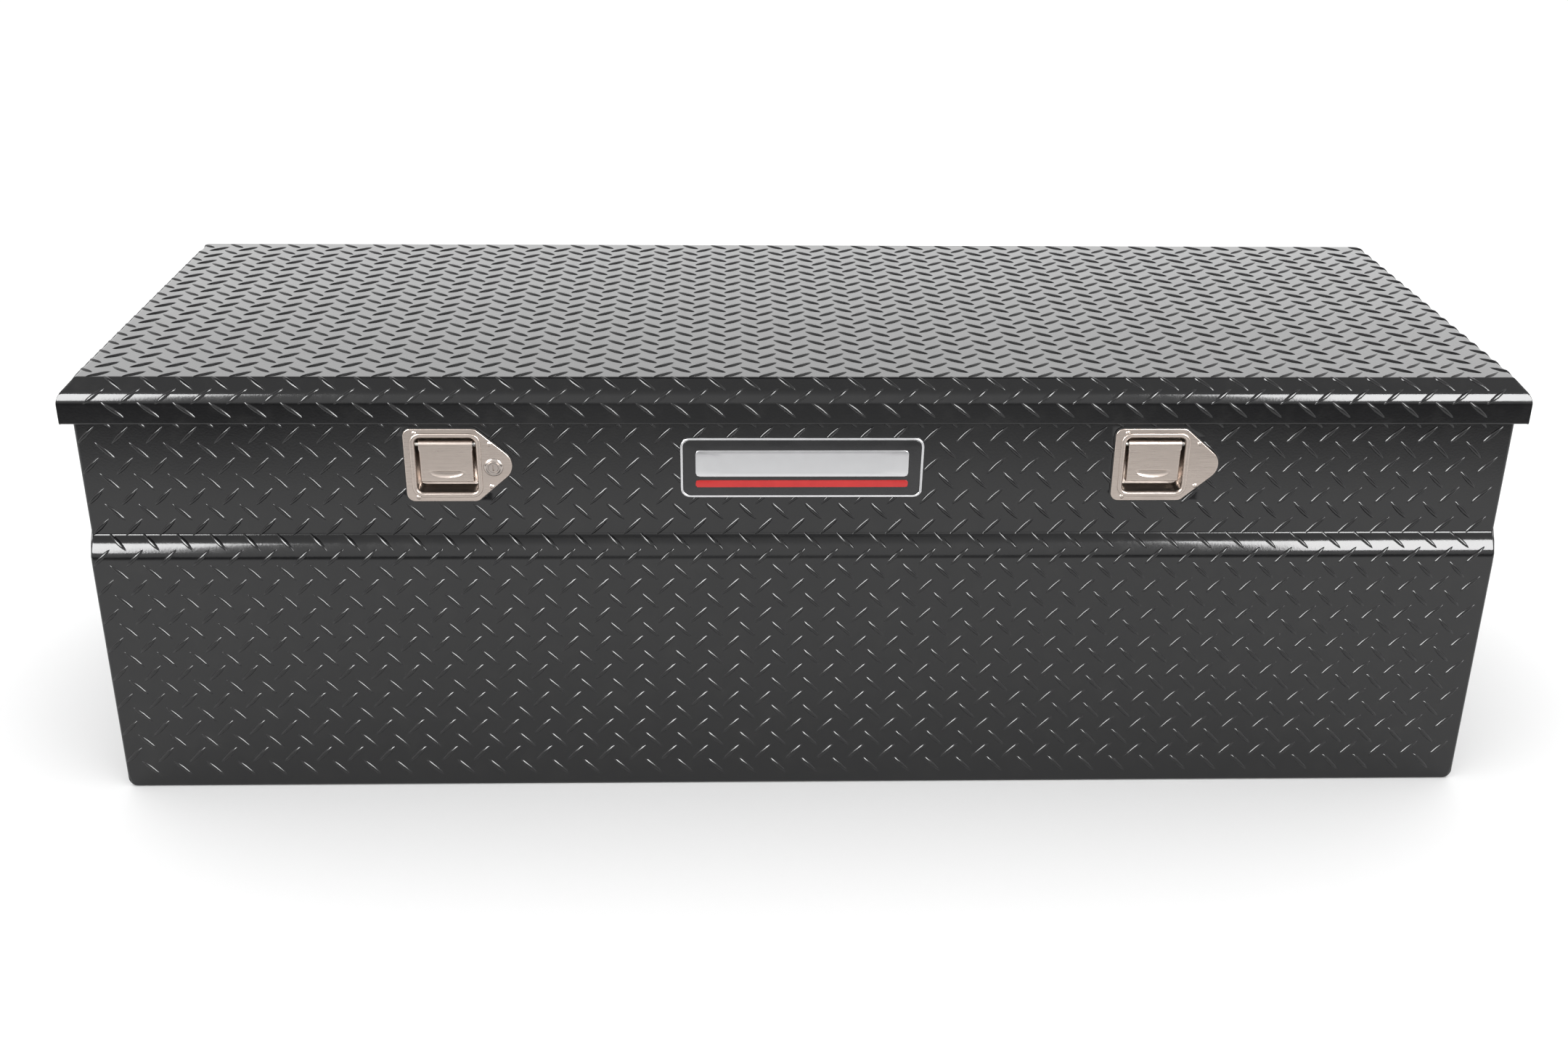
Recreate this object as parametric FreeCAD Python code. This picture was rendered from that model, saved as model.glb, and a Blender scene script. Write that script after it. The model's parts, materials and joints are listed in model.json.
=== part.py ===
"""Tread-plate tool chest for a pickup bed: folded sheet body with a front ledge, a full lid on a
piano hinge, two paddle latches with hooks, a key lock and two gas struts. Millimetres, +Z up, +Y to
the rear, origin at the bottom centre of the whole object."""
import FreeCAD, Part
import math
import os

V = FreeCAD.Vector

# overall sizes
HEIGHT = 480.0
LID_LENGTH = 1524.0
LID_DEPTH = 521.0        # front flange face to rear flange face
SHEET = 1.6              # tread sheet, without the raised lugs
FRONT_OVERHANG = 8.0     # lid front flange ahead of the upper front panel
END_OVERHANG = 11.0
LEDGE_OUT = 14.0         # lower front panel ahead of the upper one
LEDGE_TOP = 306.0
LEDGE_ANGLE = 42.0       # slope of the ledge's flat, from vertical
LEDGE_BEND = 34.0
BOTTOM_CORNER = 10.0
FLOOR_FLANGE = 20.0      # front and rear panels, turned in under the floor
END_FLANGE = 35.0        # end panels, turned in under the floor
BODY_BEND = 3.0          # sharp bends of the rims and flanges

# lid
BEVEL = 17.0
LID_FLANGE = 46.0        # top of the lid to the bottom of its flange
LID_BEND = 8.0
LID_TOP_BEND = 5.0

# hinge
KNUCKLE_R = 3.2
HINGE_PIN_R = 1.2
HINGE_LENGTH = 1480.0
KNUCKLES = 30
LEAF = 1.2
AXIS_DROP = 27.0         # hinge axis below the top of the lid
RIVETS = 14

# rim and seal
RIM_TOP = 469.0
RIM_LIP = 8.0
FRONT_RIM = 25.0
END_RIM = 22.0
REAR_RIM = 18.0
GUTTER = 14.0
SEAL_WIDTH = 10.0
SEAL_TOP = 478.0

# latches, measured from the centre of the latch opening
LATCH_X = 372.0
LATCH_Z = 386.0
OPENING_W, OPENING_H, OPENING_R = 62.6, 61.0, 6.0
PAN_DEPTH = 20.0
PAN_WALL = 1.2
PLATE = 1.6
PAN_CLEARANCE = 1.8      # round the opening, to the holes in the sheets
GASKET = 1.0
PLATE_CORNERS = ((-34.7, -32.5, 8.5), (28.0, -32.5, 8.5), (50.5, 0.0, 18.0), (28.0, 32.5, 8.5),
                 (-34.7, 32.5, 8.5))
PADDLE_W = 56.0
PADDLE_PIVOT_IN, PADDLE_PIVOT_UP = 3.5, 22.0
PADDLE_CURL_R, PADDLE_PIN_R = 4.6, 2.0
PADDLE_BOTTOM = -19.5
HOOK_PIVOT_IN, HOOK_PIVOT_UP = 46.0, 8.0
HOOK_PIN_R = 3.0
STRIKER_IN, STRIKER_UP = 52.0, 54.0
STRIKER_PIN_R = 4.0
LOCK_X, LOCK_Z = 49.0, -2.0
RIVET_SPOTS = ((-31.0, 36.0), (-31.0, -36.0), (46.0, 24.0), (46.0, -24.0))
FIT = 0.05               # radial running clearance

# badge
BADGE_W, BADGE_H, BADGE_Z = 250.0, 62.0, 383.0
BADGE_CORNER, BADGE_RING = 7.0, 3.0

# gas struts, pivots measured from the hinge axis
STRUT_X = 708.0
STRUT_FOOT = (-61.0, -191.0)
STRUT_HEAD = (-130.0, -12.0)
TUBE_R, ROD_R, PISTON_R = 9.0, 4.0, 7.4
BALL_R, BALL_FLAT = 5.5, 4.5

# planes worked out from the sizes above
LOWER_AHEAD = LEDGE_OUT - FRONT_OVERHANG
TOTAL_DEPTH = LOWER_AHEAD + LID_DEPTH + 2 * KNUCKLE_R
Y_LOWER = -TOTAL_DEPTH / 2
Y_LID = Y_LOWER + LOWER_AHEAD
Y_UPPER = Y_LID + FRONT_OVERHANG
Y_REAR = Y_LID + LID_DEPTH
Y_AXIS = Y_REAR + KNUCKLE_R
Z_AXIS = HEIGHT - AXIS_DROP
GUTTER_Z = Z_AXIS - 2.0
HALF_LID = LID_LENGTH / 2
HALF_BODY = HALF_LID - END_OVERHANG
LID_UNDER = HEIGHT - SHEET


# ---------------------------------------------------------------- helpers
def box(x0, x1, y0, y1, z0, z1):
    return Part.makeBox(x1 - x0, y1 - y0, z1 - z0, V(x0, y0, z0))


def rod(centre, axis, radius, length):
    """Cylinder whose middle is at centre."""
    axis = V(*axis)
    start = V(*centre) - axis * (length / 2)
    return Part.makeCylinder(radius, length, start, axis)


def yz(x):
    return lambda a, b: V(x, a, b)


def xz(y):
    return lambda a, b: V(a, y, b)


def polygon(points, place):
    corners = [place(a, b) for a, b in points]
    return Part.Face(Part.makePolygon(corners + corners[:1]))


def plate_yz(points, x0, x1):
    """Flat plate with its outline in the YZ plane."""
    return polygon(points, yz(x0)).extrude(V(x1 - x0, 0, 0))


def bends(points, radii):
    """Straight runs joined by bends: for each corner the two tangent points, the centre and the turn."""
    found = []
    for before, here, after, radius in zip(points, points[1:], points[2:], radii):
        p, q, r = (V(a, b, 0) for a, b in (before, here, after))
        one, two = (q - p).normalize(), (r - q).normalize()
        turn = math.atan2(one.x * two.y - one.y * two.x, one.dot(two))
        cut = radius * math.tan(abs(turn) / 2)
        side = math.copysign(1, turn)
        start = q - one * cut
        centre = start + V(-one.y, one.x, 0) * (side * radius)
        found.append((start, q + two * cut, centre, (q - centre).normalize(), radius, side, one, two))
    return found


def bent_line(points, radii, offset, place):
    """Edges of a line of straight runs and bends, moved to its left by offset, with its two ends."""
    corners = bends(points, radii)
    way = corners[0][6]
    at = V(*points[0], 0) + V(-way.y, way.x, 0) * offset
    begin, edges = place(at.x, at.y), []
    for start, stop, centre, out, radius, side, one, two in corners:
        a = start + V(-one.y, one.x, 0) * offset
        b = stop + V(-two.y, two.x, 0) * offset
        middle = centre + out * (radius - side * offset)
        edges.append(Part.LineSegment(place(at.x, at.y), place(a.x, a.y)).toShape())
        edges.append(Part.Arc(place(a.x, a.y), place(middle.x, middle.y), place(b.x, b.y)).toShape())
        at = b
    way = corners[-1][7]
    end = V(*points[-1], 0) + V(-way.y, way.x, 0) * offset
    edges.append(Part.LineSegment(place(at.x, at.y), place(end.x, end.y)).toShape())
    return edges, begin, place(end.x, end.y)


def folded(points, radii, thickness, place, travel):
    """Sheet that follows the points with a bend at each corner. The points are its outer face, and
    its thickness is on the left of the way they run. It is extruded along travel."""
    outer, outer_first, outer_last = bent_line(points, radii, 0.0, place)
    inner, inner_first, inner_last = bent_line(points, radii, thickness, place)
    caps = [Part.LineSegment(outer_last, inner_last).toShape(),
            Part.LineSegment(inner_first, outer_first).toShape()]
    wire = Part.Wire(Part.__sortEdges__(outer + inner + caps))
    return Part.Face(wire).extrude(V(*travel))


def filled(points, radii, offset, place, travel):
    """Solid bar under a bent line, closed by a straight line from its end to its start."""
    edges, first, last = bent_line(points, radii, offset, place)
    wire = Part.Wire(Part.__sortEdges__(edges + [Part.LineSegment(last, first).toShape()]))
    return Part.Face(wire).extrude(V(*travel))


def rounded_plate(x0, x1, z0, z1, radius, y0, y1):
    """Flat plate in the XZ plane with round corners."""
    solid = box(x0, x1, y0, y1, z0, z1)
    return solid.makeFillet(radius, [e for e in solid.Edges if abs(e.tangentAt(e.FirstParameter).y) > 0.99])


def hull(circles, y0, y1):
    """Plate whose outline is a band pulled tight round circles (x, z, radius), given anticlockwise."""
    sides = []
    for (x1, z1, r1), (x2, z2, r2) in zip(circles, circles[1:] + circles[:1]):
        run = V(x2 - x1, z2 - z1, 0)
        lean = (r1 - r2) / run.Length
        along = run.normalize()
        out = along * lean + V(along.y, -along.x, 0) * math.sqrt(1 - lean ** 2)
        sides.append((V(x1, z1, 0) + out * r1, V(x2, z2, 0) + out * r2, out))
    edges = []
    for (start, stop, out), (following, _, next_out), (x, z, r) in zip(
            sides, sides[1:] + sides[:1], circles[1:] + circles[:1]):
        middle = V(x, z, 0) + (out + next_out).normalize() * r
        edges.append(Part.LineSegment(V(start.x, y0, start.y), V(stop.x, y0, stop.y)).toShape())
        edges.append(Part.Arc(V(stop.x, y0, stop.y), V(middle.x, y0, middle.y),
                              V(following.x, y0, following.y)).toShape())
    return Part.Face(Part.Wire(edges)).extrude(V(0, y1 - y0, 0))


def coil(centre, radius, wire, pitch, turns):
    """Spring wound round the X axis, starting at centre."""
    helix = Part.makeHelix(pitch, pitch * turns, radius)
    section = Part.Wire(Part.makeCircle(wire, V(radius, 0, 0), V(0, 1, 0)))
    spring = Part.Wire(helix.Edges).makePipeShell([section], True, True)
    spring.rotate(V(0, 0, 0), V(0, 1, 0), 90)
    spring.translate(V(*centre))
    return Part.Solid(spring) if spring.ShapeType != "Solid" else spring


def mirrored(shape):
    return shape.mirror(V(0, 0, 0), V(1, 0, 0))


def cut_all(shape, tools):
    return shape.cut(Part.makeCompound(tools)) if tools else shape


def spread(count, length):
    """count places spaced evenly over a length about zero."""
    step = length / (count - 1)
    return [i * step - length / 2 for i in range(count)]


# ---------------------------------------------------------------- front and body sheets
def ledge_points():
    """Outer corner points of the ledge, worked out so that its flat and its two bends fit."""
    return [(Y_UPPER, LEDGE_TOP), (Y_LOWER, LEDGE_TOP - ledge_drop())]


def ledge_drop():
    """Height between the ledge's two corner points, for a flat at LEDGE_ANGLE."""
    return LEDGE_OUT / math.tan(math.radians(LEDGE_ANGLE))


def front_line():
    """Outer line of the front panel, from the rim's lip down to the floor flange."""
    top, bottom = ledge_points()
    points = [(Y_UPPER + FRONT_RIM, RIM_TOP - RIM_LIP), (Y_UPPER + FRONT_RIM, RIM_TOP), (Y_UPPER, RIM_TOP),
              top, bottom, (Y_LOWER, 0.0), (Y_LOWER + FLOOR_FLANGE, 0.0)]
    return points, [BODY_BEND, BODY_BEND, 4.0, LEDGE_BEND, BODY_BEND]


def bottom_corners(shape, depth_from, depth_to):
    """Rounds the two bottom corners of a panel that is seen from the front."""
    outline = box(-HALF_BODY, HALF_BODY, depth_from, depth_to, 0.0, HEIGHT)
    low = [e for e in outline.Edges
           if abs(e.tangentAt(e.FirstParameter).y) > 0.99 and e.BoundBox.ZMax < 1.0]
    return shape.common(outline.makeFillet(BOTTOM_CORNER, low))


def flange_trim(y0, y1):
    """Space at both ends of a floor flange that belongs to the end panels' own flanges."""
    inner = HALF_BODY - END_FLANGE
    return [box(-HALF_BODY - 1, -inner, y0, y1, -1, SHEET + 0.1),
            box(inner, HALF_BODY + 1, y0, y1, -1, SHEET + 0.1)]


def front_panel():
    points, radii = front_line()
    panel = folded(points, radii, SHEET, yz(-HALF_BODY), (2 * HALF_BODY, 0, 0))
    panel = bottom_corners(panel, Y_LOWER - 1, Y_UPPER + 60)
    tools = flange_trim(Y_LOWER + SHEET, Y_LOWER + 30)
    for x in (-LATCH_X, LATCH_X):
        tools.append(opening_block(x, PAN_CLEARANCE, Y_UPPER - 5, Y_UPPER + 5))
        tools += rivet_holes(x)
    tools.append(lock_hole())
    return cut_all(panel, tools)


def rear_panel():
    points = [(Y_REAR - FLOOR_FLANGE, 0.0), (Y_REAR, 0.0), (Y_REAR, GUTTER_Z), (Y_REAR - GUTTER, GUTTER_Z),
              (Y_REAR - GUTTER, RIM_TOP), (Y_REAR - GUTTER - REAR_RIM, RIM_TOP),
              (Y_REAR - GUTTER - REAR_RIM, RIM_TOP - RIM_LIP)]
    panel = folded(points, [BODY_BEND] * 5, SHEET, yz(-HALF_BODY), (2 * HALF_BODY, 0, 0))
    panel = bottom_corners(panel, Y_REAR - 60, Y_REAR + 1)
    return cut_all(panel, flange_trim(Y_REAR - 30, Y_REAR - SHEET) + hinge_rivet_holes(BODY_RIVET_Z))


def inner_outline():
    """Outline in the YZ plane of the space between the front and rear panels, with the gutter left out."""
    top, bottom = ledge_points()
    lean = math.radians(LEDGE_ANGLE)
    shift = SHEET * math.tan(lean / 2)
    inside_front = Y_UPPER + SHEET
    return [(Y_LOWER + SHEET, 0.0), (Y_REAR - SHEET, 0.0), (Y_REAR - SHEET, GUTTER_Z - SHEET),
            (Y_REAR - GUTTER - SHEET, GUTTER_Z - SHEET), (Y_REAR - GUTTER - SHEET, RIM_TOP),
            (inside_front, RIM_TOP), (inside_front, top[1] - shift), (Y_LOWER + SHEET, bottom[1] - shift)]


def left_end_panel(front, rear):
    """End panel with its rim shelf and floor flange, cut back to the inside of the front and rear panels."""
    rim = -HALF_BODY + END_RIM
    points = [(rim, RIM_TOP - RIM_LIP), (rim, RIM_TOP), (-HALF_BODY, RIM_TOP), (-HALF_BODY, 0.0),
              (-HALF_BODY + END_FLANGE, 0.0)]
    radii = [BODY_BEND, BODY_BEND, BOTTOM_CORNER]
    sheet = folded(points, radii, SHEET, xz(Y_LOWER - 1), (0, TOTAL_DEPTH + 2, 0))
    sheet = sheet.common(plate_yz(inner_outline(), -HALF_BODY - 1, -HALF_BODY + 60))
    inner_x = -HALF_BODY + SHEET
    reach = -HALF_BODY + 60
    corners = []
    for y0, y1 in ((Y_LOWER, Y_UPPER + FRONT_RIM), (Y_REAR - GUTTER - REAR_RIM, Y_REAR)):
        corners.append(box(inner_x, reach, y0, y1, RIM_TOP - 40, RIM_TOP + 1))
        corners.append(box(-HALF_BODY - 1, reach, y0, y1, RIM_TOP - 2 * SHEET, RIM_TOP + 1))
    panel = cut_all(sheet.cut(front).cut(rear), corners + [mirrored(hole) for hole in strut_screw_holes()])
    return max(panel.Solids, key=lambda solid: solid.Volume)


def floor_panel():
    inner = HALF_BODY - END_FLANGE
    return box(-inner, inner, Y_LOWER + FLOOR_FLANGE, Y_REAR - FLOOR_FLANGE, 0.0, SHEET)


def lid_seal():
    """Bulb seal all round on the rim, hollow like the real one."""
    x1, y0, y1 = HALF_BODY - 10, Y_UPPER + 11, Y_REAR - GUTTER - 4

    def ring(inset, z0, z1, corner):
        solid = box(-x1 + inset, x1 - inset, y0 + inset, y1 - inset, z0, z1)
        upright = [e for e in solid.Edges if abs(e.tangentAt(e.FirstParameter).z) > 0.99]
        return solid.makeFillet(corner, upright)

    outer = ring(0, RIM_TOP, SEAL_TOP, 14.0).cut(ring(SEAL_WIDTH, RIM_TOP - 1, SEAL_TOP + 1, 4.0))
    hollow = ring(2, RIM_TOP + 2, SEAL_TOP - 2, 12.0).cut(ring(SEAL_WIDTH - 2, RIM_TOP, SEAL_TOP, 6.0))
    return outer.cut(hollow)


# ---------------------------------------------------------------- lid
def lid_block(inset, z_low):
    """Solid with the lid's outer shape, or that shape moved in by the sheet's thickness: what the
    end view and the side view have in common, so the bevels meet in mitres."""
    bend = [LID_BEND, LID_TOP_BEND]
    side_view = [(Y_REAR, z_low), (Y_REAR, HEIGHT), (Y_LID + BEVEL, HEIGHT), (Y_LID, HEIGHT - BEVEL),
                 (Y_LID, z_low)]
    end_view = [(HALF_LID, z_low), (HALF_LID, HEIGHT - BEVEL), (HALF_LID - BEVEL, HEIGHT),
                (-HALF_LID + BEVEL, HEIGHT), (-HALF_LID, HEIGHT - BEVEL), (-HALF_LID, z_low)]
    along_x = filled(side_view, [BODY_BEND] + bend[::-1], inset, yz(-HALF_LID), (LID_LENGTH, 0, 0))
    along_y = filled(end_view, bend + bend[::-1], inset, xz(Y_LID - 5), (0, LID_DEPTH + 10, 0))
    return along_x.common(along_y)


def lid_skin():
    shell = lid_block(0.0, HEIGHT - LID_FLANGE).cut(lid_block(SHEET, HEIGHT - LID_FLANGE - 5))
    inner = HALF_LID - SHEET
    rear = box(-inner, inner, Y_REAR - SHEET - 0.5, Y_REAR + 1, HEIGHT - LID_FLANGE - 5, Z_AXIS + 1.0)
    return cut_all(shell, [rear] + hinge_rivet_holes(LID_RIVET_Z))


def lid_channel(y_middle, x_half=690.0):
    """Hat-section stiffener glued and welded under the lid."""
    points = [(y_middle + 24, LID_UNDER), (y_middle + 12, LID_UNDER), (y_middle + 12, LID_UNDER - 11),
              (y_middle - 12, LID_UNDER - 11), (y_middle - 12, LID_UNDER), (y_middle - 24, LID_UNDER)]
    return folded(points, [2.0, 2.0, 2.0, 2.0], 1.2, yz(-x_half), (2 * x_half, 0, 0))


# ---------------------------------------------------------------- piano hinge
BODY_RIVET_Z = Z_AXIS - 14.0
LID_RIVET_Z = Z_AXIS + 13.0


def hinge_leaf(side, odd):
    """One leaf with every second knuckle. side is -1 for the body's leaf below, 1 for the lid's above."""
    near, far = Z_AXIS + side * 4.0, Z_AXIS + side * (24.0 if side < 0 else 20.0)
    leaf = box(-HINGE_LENGTH / 2, HINGE_LENGTH / 2, Y_REAR, Y_REAR + LEAF, min(near, far), max(near, far))
    pitch = HINGE_LENGTH / KNUCKLES
    parts = []
    for i in range(odd, KNUCKLES, 2):
        x = -HINGE_LENGTH / 2 + (i + 0.5) * pitch
        wide = pitch - 0.6
        parts.append(rod((x, Y_AXIS, Z_AXIS), (1, 0, 0), KNUCKLE_R, wide))
        parts.append(box(x - wide / 2, x + wide / 2, Y_REAR, Y_REAR + LEAF,
                         min(near, Z_AXIS) - 0.5, max(near, Z_AXIS) + 0.5))
    leaf = leaf.fuse(parts)
    leaf = leaf.cut(rod((0, Y_AXIS, Z_AXIS), (1, 0, 0), HINGE_PIN_R + FIT, HINGE_LENGTH + 10))
    z = BODY_RIVET_Z if side < 0 else LID_RIVET_Z
    return cut_all(leaf, hinge_rivet_holes(z)).removeSplitter()


def hinge_rivet_holes(z):
    return [rod((x, Y_REAR, z), (0, 1, 0), 1.65, 12) for x in spread(RIVETS, HINGE_LENGTH - 80)]


def hinge_rivets(z):
    """Domed blind rivets through a leaf and the sheet behind it."""
    made = []
    for x in spread(RIVETS, HINGE_LENGTH - 80):
        shank = Part.makeCylinder(1.6, SHEET + LEAF, V(x, Y_REAR - SHEET, z), V(0, 1, 0))
        head = Part.makeCone(3.2, 1.8, 1.0, V(x, Y_REAR + LEAF, z), V(0, 1, 0))
        tail = Part.makeCylinder(2.4, 1.4, V(x, Y_REAR - SHEET - 1.4, z), V(0, 1, 0))
        made.append(shank.fuse([head, tail]))
    return Part.makeCompound(made)


# ---------------------------------------------------------------- latches
def plate_circles(x, grow=0.0):
    """Circles whose tight band is the latch plate's outline, anticlockwise."""
    return [(x + a, LATCH_Z + b, r + grow) for a, b, r in PLATE_CORNERS]


def opening_block(x, grow, y0, y1):
    half, tall = OPENING_W / 2 + grow, OPENING_H / 2 + grow
    return rounded_plate(x - half, x + half, LATCH_Z - tall, LATCH_Z + tall, OPENING_R + grow, y0, y1)


def rivet_holes(x):
    return [rod((x + a, Y_UPPER, LATCH_Z + b), (0, 1, 0), 1.65, 30) for a, b in RIVET_SPOTS]


def lock_centre():
    return -LATCH_X + LOCK_X, LATCH_Z + LOCK_Z


def lock_hole():
    x, z = lock_centre()
    return rod((x, Y_UPPER, z), (0, 1, 0), 7.0 + 0.3, 30)


def latch_gasket(x, locked):
    flat = hull(plate_circles(x, 1.0), Y_UPPER - GASKET, Y_UPPER)
    tools = [opening_block(x, PAN_CLEARANCE, Y_UPPER - 5, Y_UPPER + 5)] + rivet_holes(x)
    return cut_all(flat, tools + ([lock_hole()] if locked else []))


def latch_pan(x, locked):
    """Stamped plate with a raised bead, a deep pocket, and a slot at the back for the hook's tail."""
    face = Y_UPPER - GASKET
    plate = hull(plate_circles(x), face - PLATE, face)
    bead = opening_block(x, 3.4, face - PLATE - 1.1, face - PLATE)
    back = Y_UPPER + PAN_DEPTH
    pocket = opening_block(x, PAN_WALL, face - PLATE, back)
    pan = plate.fuse([bead, pocket]).cut(opening_block(x, 0.0, face - PLATE - 3, back - PAN_WALL))
    pivot = (x, Y_UPPER + PADDLE_PIVOT_IN, LATCH_Z + PADDLE_PIVOT_UP)
    tools = [box(x - 5, x + 5, back - 3, back + 1, LATCH_Z + 5, LATCH_Z + 23),
             rod(pivot, (1, 0, 0), PADDLE_PIN_R + FIT, OPENING_W + 10)] + rivet_holes(x)
    return cut_all(pan, tools + ([lock_hole()] if locked else [])).removeSplitter()


def paddle(x):
    """Paddle with its top curled round the pin, side returns, a finger lip and a tail that works the hook."""
    y, z = Y_UPPER + PADDLE_PIVOT_IN, LATCH_Z + PADDLE_PIVOT_UP
    front = y - PADDLE_CURL_R
    low = LATCH_Z + PADDLE_BOTTOM
    half = PADDLE_W / 2
    curl = rod((x, y, z), (1, 0, 0), PADDLE_CURL_R, PADDLE_W)
    plate = box(x - half, x + half, front, front + 1.8, low, z)
    returns = [box(x + s * half - (1.6 if s > 0 else 0), x + s * half + (1.6 if s < 0 else 0),
                   front, front + 7.0, low, z - 6) for s in (-1, 1)]
    lip = box(x - half, x + half, front, front + 7.0, low, low + 1.6)
    tail = box(x - 6, x + 6, y + 3, y + 12, z - 1.5, z + 1.5).fuse(rod((x, y + 12, z), (1, 0, 0), 1.5, 12))
    shape = curl.fuse([plate, lip, tail] + returns)
    return shape.cut(rod((x, y, z), (1, 0, 0), PADDLE_PIN_R + FIT, PADDLE_W + 10)).removeSplitter()


def paddle_pin(x):
    return rod((x, Y_UPPER + PADDLE_PIVOT_IN, LATCH_Z + PADDLE_PIVOT_UP), (1, 0, 0), PADDLE_PIN_R,
               OPENING_W + 2 * PAN_WALL)


def paddle_spring(x):
    """Torsion spring on the paddle's pin, in the gap beside the curl."""
    start = (x + PADDLE_W / 2 + 0.7, Y_UPPER + PADDLE_PIVOT_IN, LATCH_Z + PADDLE_PIVOT_UP)
    return coil(start, 2.7, 0.35, 0.8, 2)


def latch_backing_plate(x, locked):
    y0 = Y_UPPER + SHEET
    flat = rounded_plate(x - 48, x + 72, LATCH_Z - 46, LATCH_Z + 46, 5, y0, y0 + SHEET)
    tools = [opening_block(x, PAN_CLEARANCE, y0 - 5, y0 + 5)] + rivet_holes(x)
    return cut_all(flat, tools + ([lock_hole()] if locked else []))


def latch_rivets():
    """The four rivets of each latch, through plate, gasket, panel and backing plate."""
    made = []
    face = Y_UPPER - GASKET - PLATE
    back = Y_UPPER + 2 * SHEET
    for x in (-LATCH_X, LATCH_X):
        for a, b in RIVET_SPOTS:
            at = (x + a, LATCH_Z + b)
            shank = Part.makeCylinder(1.6, back - face, V(at[0], face, at[1]), V(0, 1, 0))
            head = Part.makeCone(1.4, 2.6, 0.8, V(at[0], face - 0.8, at[1]), V(0, 1, 0))
            tail = Part.makeCylinder(2.4, 1.4, V(at[0], back, at[1]), V(0, 1, 0))
            made.append(shank.fuse([head, tail]))
    return Part.makeCompound(made)


def latch_bracket(x):
    """U-shaped bracket behind the pan: two cheeks with feet on the backing plate, joined at the back."""
    y0, z = Y_UPPER + 2 * SHEET, LATCH_Z
    cheek = [(y0, z + 13), (y0, z + 26), (Y_UPPER + 57.6, z + 26), (Y_UPPER + 57.6, z - 3),
             (Y_UPPER + 36, z - 3), (Y_UPPER + 36, z + 13)]
    parts = [plate_yz(cheek, x - 36, x - 34), plate_yz(cheek, x + 34, x + 36)]
    parts.append(box(x - 46, x - 35, y0, y0 + 2, z + 13, z + 26))
    parts.append(box(x + 35, x + 44, y0, y0 + 2, z + 13, z + 18))
    back = box(x - 36, x + 36, Y_UPPER + 56, Y_UPPER + 57.6, z - 3, z + 26)
    shape = back.fuse(parts)
    shape = shape.cut(rod((x, Y_UPPER + HOOK_PIVOT_IN, z + HOOK_PIVOT_UP), (1, 0, 0), HOOK_PIN_R + FIT, 100))
    return cut_all(shape, rivet_clearances(x)).removeSplitter()


def rivet_clearances(x):
    """Round notches that keep the bracket's feet off the rivet tails."""
    return [rod((x + a, Y_UPPER + 5, LATCH_Z + b), (0, 1, 0), 3.0, 12) for a, b in RIVET_SPOTS]


def hook(x):
    """Bell crank: tail under the paddle's tail, hub on the pin, stem and nose over the striker pin."""
    y, z = Y_UPPER, LATCH_Z
    tail = [(y + 13.5, z + 16), (y + 13.5, z + 20), (y + 31, z + 20), (y + 40, z + 24)]
    nose = [(y + 40, z + 62), (y + 46, z + 66), (y + 57, z + 60.5), (y + 57, z + 58.7), (y + 47.3, z + 58.7)]
    heel = [(y + 47.3, z + 20), (y + 53, z + 12), (y + 50, z + 3), (y + 42, z + 2)]
    outline = tail + nose + heel
    blade = plate_yz(outline, x - 2.5, x + 2.5)
    centre = (x, y + HOOK_PIVOT_IN, z + HOOK_PIVOT_UP)
    hub = rod(centre, (1, 0, 0), 7.5, 12)
    return blade.fuse(hub).cut(rod(centre, (1, 0, 0), HOOK_PIN_R + FIT, 30)).removeSplitter()


def hook_pin(x):
    return rod((x, Y_UPPER + HOOK_PIVOT_IN, LATCH_Z + HOOK_PIVOT_UP), (1, 0, 0), HOOK_PIN_R, 76)


def hook_spring(x):
    return coil((x + 8.5, Y_UPPER + HOOK_PIVOT_IN, LATCH_Z + HOOK_PIVOT_UP), 4.6, 0.7, 1.7, 5)


# ---------------------------------------------------------------- strikers
def striker_bracket(x):
    y = Y_UPPER + STRIKER_IN
    base = box(x - 26, x + 26, y - 13, y + 13, LID_UNDER - 3, LID_UNDER)
    ears = [box(x + mid - 1.5, x + mid + 1.5, y - 7, y + 7, LATCH_Z + 47, LID_UNDER - 3)
            for mid in (-10.5, 10.5)]
    pin = rod((x, y, LATCH_Z + STRIKER_UP), (1, 0, 0), STRIKER_PIN_R + 0.02, 40)
    return base.fuse(ears).cut(pin).cut(Part.makeCompound(stud_holes(striker_studs())))


def striker_pins():
    y, z = Y_UPPER + STRIKER_IN, LATCH_Z + STRIKER_UP
    return Part.makeCompound([rod((x, y, z), (1, 0, 0), STRIKER_PIN_R, 25) for x in (-LATCH_X, LATCH_X)])


def striker_studs():
    return [(x + s * 19, Y_UPPER + STRIKER_IN) for x in (-LATCH_X, LATCH_X) for s in (-1, 1)]


def stud_holes(spots):
    return [rod((x, y, LID_UNDER - 5), (0, 0, 1), 2.6, 12) for x, y in spots]


def weld_studs(spots):
    """Studs welded under the lid, each with its nut below a 3 mm bracket."""
    made = []
    for x, y in spots:
        stud = Part.makeCylinder(2.5, 9.5, V(x, y, LID_UNDER - 9.5))
        corners = [V(x + 4.6 * math.cos(k * math.pi / 3), y + 4.6 * math.sin(k * math.pi / 3), LID_UNDER - 7)
                   for k in range(7)]
        nut = Part.Face(Part.makePolygon(corners)).extrude(V(0, 0, 4))
        made.append(stud.fuse(nut))
    return Part.makeCompound(made)


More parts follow.
